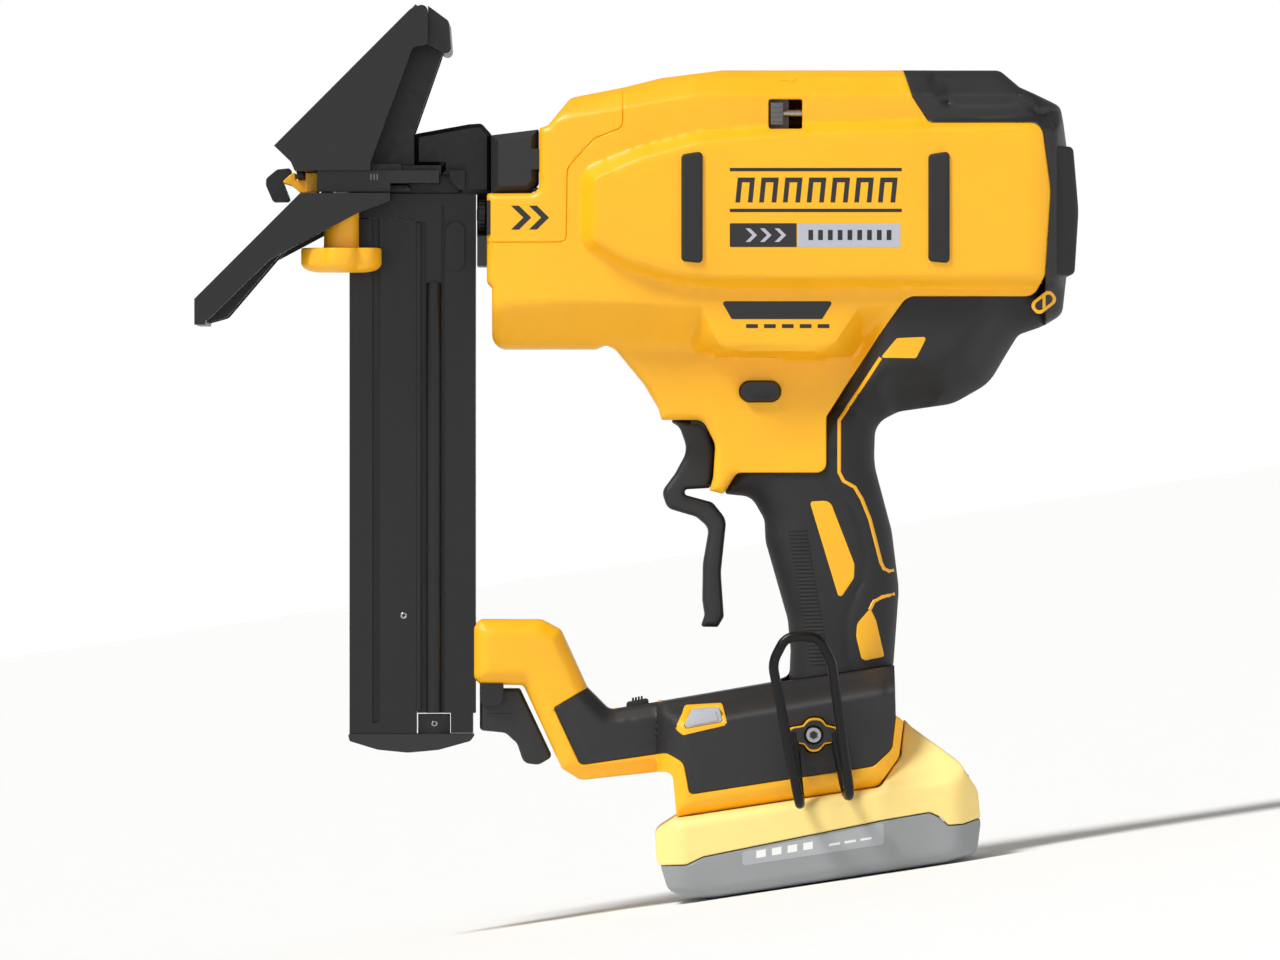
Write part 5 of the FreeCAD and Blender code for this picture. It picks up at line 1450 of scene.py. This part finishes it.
def selector_piece():
    """Ribbed slide of the firing-mode selector."""
    low = [(153.5, 66.8), (153.5, 71.3, 1), (161.5, 72.8, 1), (161.5, 68.3)]
    parts = [plate("selector_foot", low, -4.9, 4.9, BLACK, 0.3)]
    for i in range(4):
        x = 155.5 + 1.05 * i
        z = 71.4 + (x - 155.5) * 0.19
        parts.append(plate("selector_rib", [(x, z), (x + 0.75, z), (x + 0.75, z + 1.5, 0.2),
                                            (x, z + 1.4, 0.2)], -4.1, 4.1, BLACK, 0.15))
    settle(merge("selector_slide", parts), "selector", ["mode_selector"], "dark_shell")


def button_piece():
    """Ribbed release button on the sloping rear of the pack."""
    top, low = np.array([259.0, 59.9]), np.array([277.0, 44.8])
    length = np.linalg.norm(low - top)
    u = (low - top) / length
    n = np.array([-u[1], u[0]])
    corners = [tuple(top + u * 0.1 - n * 3.9), tuple(low - u * 0.1 - n * 3.9)]
    profile = []
    count = 11
    valley, crown, slope = 0.75, 0.05, 0.4
    for i in range(count):
        a = length * (i + 0.1) / count
        b = length * (i + 0.9) / count
        for along, down in ((a, valley), (a + slope, crown), (b - slope, crown), (b, valley)):
            profile.append(tuple(top + u * along - n * down))
    corners += profile[::-1]
    obj = plate("release_button", corners, -16.9, 16.9, PACK_GREY, 0.25, (), 3.0)
    settle(obj, "battery_latch", ["battery_release_button"], "grey_plastic")


def pack_prints():
    """Label of the pack: a pale panel and a grey field with a charge-bar pictogram."""
    for side, word in HALVES:
        parts = []

        def mark(corners, material, lift=0.07):
            parts.append(patch("mark", corners, pack_depth, side, material, lift, -0.3, 2.5, 0.0))

        mark([(195, 13.2, 1), (195, 18.2, 1), (245.6, 28.6, 1), (245.6, 20.8, 1)], LABEL_GREY)
        for i in range(4):
            x = 200.0 + 5.6 * i
            z = 15.6 + (x - 198) * 0.165
            mark([(x, z), (x + 3.4, z + 0.55), (x + 3.4, z + 3.2), (x, z + 2.6)], INK_WHITE, 0.12)
        for i in range(3):
            x = 226.0 + 5.6 * i
            z = 20.2 + (x - 226) * 0.165
            mark([(x, z), (x + 4.0, z + 0.65), (x + 4.0, z + 1.5), (x, z + 0.85)], INK_WHITE, 0.12)
        settle(merge(word + "_pack_print", parts), "battery", [], "pack_tray")


def small_marks():
    """Scale lines by the pointer and the release arrow."""
    parts = []
    for i in range(3):
        x = 62.0 + 1.1 * i
        parts.append(plate("scale", [(x, 258.6), (x + 0.3, 258.6), (x + 0.3, 260.7), (x, 260.7)],
                           -36.06, -35.8, PACK_GREY, 0.02))
    settle(merge("scale_marks", parts), "housing", [], "black_steel")
    arrow = [(208.2, 294.4), (212.2, 294.4), (212.2, 293.4), (214.8, 295.0), (212.2, 296.6),
             (212.2, 295.6), (208.2, 295.6)]
    arrow_mark = patch("arrow_mark", arrow, top_depth, -1, YELLOW, 0.35, -0.5, 1.0, 0.1)
    settle(arrow_mark, "housing", [], "yellow_shell")


def vent_slot():
    """Yellow-rimmed slot in the lower corner of the rear cover; a black sheet inside the rim is
    painted shade for the opening.
    """
    turn = math.radians(38)
    cos, sin = math.cos(turn), math.sin(turn)

    def tilt(points):
        return [(303 + a * cos - b * sin, 214.8 + a * sin + b * cos, 2.2) for a, b in points]

    for side, word in HALVES:
        outer = rounded(tilt([(-4.7, -2.7), (4.7, -2.7), (4.7, 2.7), (-4.7, 2.7)]), 0.8)
        inner = rounded(tilt([(-3.6, -1.6), (3.6, -1.6), (3.6, 1.6), (-3.6, 1.6)]), 0.8)
        rim = skin("slot_rim", triangulate(outer, [inner], [], 2.0), rear_depth, side, YELLOW, 0.35,
                   -0.6, 0.15)
        # Black sheet inside the rim: painted shade for the slot's opening.
        dark = skin("slot_floor", triangulate(inner, [], [], 2.0), rear_depth, side, INK_AND_SHADE_BLACK, 0.06,
                    -0.6, 0.0)
        bar = patch("slot_bar", [(302.5, 212.6), (303.6, 212.6), (303.6, 217.0), (302.5, 217.0)],
                    rear_depth, side, YELLOW, 0.3, -0.5, 2.0, 0.1)
        settle(merge(word + "_strap_slot", [rim, dark, bar]), "housing", [], "dark_shell")


def coil_piece():
    """Rolled strip spring in the pusher's pocket."""
    verts, faces = [], []
    turns, n = 5, 240
    for k in range(n):
        t = 2 * math.pi * turns * k / n
        r = 5.75 - 3.2 * k / n
        for dr in (0.0, -0.35):
            for y in (-4.3, 4.3):
                verts.append((68 + (r + dr) * math.cos(t), y, 206 + (r + dr) * math.sin(t)))
    for k in range(n - 1):
        a = 4 * k
        for i, j in ((0, 1), (1, 3), (3, 2), (2, 0)):
            faces.append((a + i, a + j, a + 4 + j, a + 4 + i))
    faces.append((0, 1, 3, 2))
    faces.append((4 * n - 4, 4 * n - 3, 4 * n - 1, 4 * n - 2))
    settle(new_object("pusher_coil", verts, faces, STEEL), "pusher", ["pusher_coil_spring"],
           "bright_steel")


FINISHES = {
    "trigger_pin": STEEL, "trigger_switch": BLACK, "stall_release_spring": STEEL,
    "nose_plate": ECOAT, "nose_body": CAST, "nose_bridge": BLACK, "upper_foot": ECOAT,
    "board_shoe": ECOAT, "clamp_stud": STEEL, "shoe_guide_screw": STEEL, "contact_prongs": ECOAT,
    "depth_wheel_bracket": BLACK, "magazine_body": ANODISED,
    "magazine_bracket": ECOAT, "magazine_slide": ANODISED, "magazine_cap": BLACK,
    "staple_pusher": PACK_GREY, "staple_strip": STEEL, "latch_pin": ECOAT, "driver": STEEL,
    "driver_guide_rods": STEEL, "driver_bumpers": RUBBER, "flywheel": STEEL,
    "motor_stator": WINDING, "motor_bearings": STEEL, "motor_cradle": CAST, "pinch_roller": STEEL,
    "activation_arm": STEEL, "arm_pivot": CAST, "solenoid": PACK_GREY, "control_board": BOARD,
    "terminal_block": BLACK, "battery_cells": SLEEVE}
BEVEL = 0.0003
WIDE_BEVEL = 0.0004


def finish_cad():
    """Carried-over metal pieces: softened edges and their own surface."""
    for name, material in FINISHES.items():
        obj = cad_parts[name]
        obj.data.materials.clear()
        obj.data.materials.append(material)
        weld = obj.modifiers.new("weld", "WELD")
        weld.merge_threshold = 1e-6
        bevel = obj.modifiers.new("bevel", "BEVEL")
        bevel.width = WIDE_BEVEL if name in ("upper_foot", "board_shoe", "magazine_cap") else BEVEL
        bevel.segments = 2
        bevel.limit_method = "ANGLE"
        bevel.angle_limit = math.radians(40)
        bevel.use_clamp_overlap = True
        for polygon in obj.data.polygons:
            polygon.use_smooth = True
        normals = obj.modifiers.new("normals", "WEIGHTED_NORMAL")
        normals.keep_sharp = True


upper_halves()
grip_shells()
cover_shells()
bumper_piece()
panel_shells()
pack_shells()
screw_set()
trigger_piece()
lock_off_piece()
strip_pieces()
prints()
grip_ribs()
stall_release()
lens_piece()
lens_frame()
knob_piece()
pointer_piece()
magazine_screws()
selector_marks()
wheel_piece()
hook_pieces()
latch_piece()
selector_piece()
button_piece()
pack_prints()
small_marks()
vent_slot()
coil_piece()
finish_cad()


# ------------------------------------------------------------------ stage

def floor(material):
    """Flat card floor, far wider than the tool."""
    reach = 25.0
    level = -0.0006
    corners = ((-reach, -reach), (reach, -reach), (reach, reach), (-reach, reach))
    verts = [(x, y, level) for x, y in corners]
    mesh = bpy.data.meshes.new("floor")
    mesh.from_pydata(verts, [], [(0, 1, 2, 3)])
    mesh.materials.append(material)
    obj = bpy.data.objects.new("floor", mesh)
    bpy.context.collection.objects.link(obj)


def sky(low, high):
    """Surround that is bright at the horizon and dimmer overhead."""
    world = bpy.data.worlds.new("studio")
    bpy.context.scene.world = world
    world.use_nodes = True
    tree = world.node_tree
    heading = add(tree, "ShaderNodeTexCoord").outputs["Generated"]
    parts = add(tree, "ShaderNodeSeparateXYZ", {}, {"Vector": heading})
    level = grade(tree, parts.outputs["Z"], (0.12, 0.45), low, high)
    background = tree.nodes["Background"]
    tree.links.new(level, background.inputs["Strength"])
    background.inputs["Color"].default_value = linear("FFFFFF")


def aim_light(light, name, place):
    """Puts a light in its place and turns it to the middle of the tool."""
    obj = bpy.data.objects.new(name, light)
    obj.location = place
    aim = Vector(CENTRE) - Vector(place)
    obj.rotation_euler = aim.to_track_quat("-Z", "Y").to_euler()
    bpy.context.collection.objects.link(obj)


def sun_light(name, place, spread, power):
    """Even light over the whole floor, soft by its spread in degrees."""
    light = bpy.data.lights.new(name, "SUN")
    light.angle = math.radians(spread)
    light.energy = power
    aim_light(light, name, place)


def area_light(name, place, size, power):
    """Soft box of a size in metres."""
    light = bpy.data.lights.new(name, "AREA")
    light.size = size
    light.energy = power
    aim_light(light, name, place)


# Matt white card floor.
CARD = moulded("white_card", "F4F4F2", 0.8, 1.5, 0.01, 0.99, 0.02)
floor(CARD)

bpy.context.scene.view_settings.view_transform = "Standard"
sky(1.0, 0.24)
CENTRE = (0.0, 0.0, 0.16)
sun_light("key", (-0.75, -0.7, 1.7), 18, 3.1)
area_light("fill", (1.6, -1.5, 0.6), 1.2, 1.5)
area_light("front", (-0.6, -2.2, 0.5), 1.2, 1.5)

# Long lens square to the near flank, rolled with the tool's own frame.
LENS_DISTANCE = 6000.0
VIEW_WIDTH = 460.8
VIEW_CENTRE = (158.4, 151.2)
camera_data = bpy.data.cameras.new("camera")
camera_data.sensor_width = 36.0
camera_data.lens = 36.0 * LENS_DISTANCE / VIEW_WIDTH
camera_data.clip_end = 50.0
camera = bpy.data.objects.new("camera", camera_data)
right = Vector((COS, 0, -SIN))
up = Vector((SIN, 0, COS))
back = right.cross(up)
turn = Matrix((right, up, back)).transposed().to_4x4()
turn.translation = Vector(to_row([(VIEW_CENTRE[0], -LENS_DISTANCE, VIEW_CENTRE[1])])[0])
camera.matrix_world = turn
bpy.context.collection.objects.link(camera)
bpy.context.scene.camera = camera
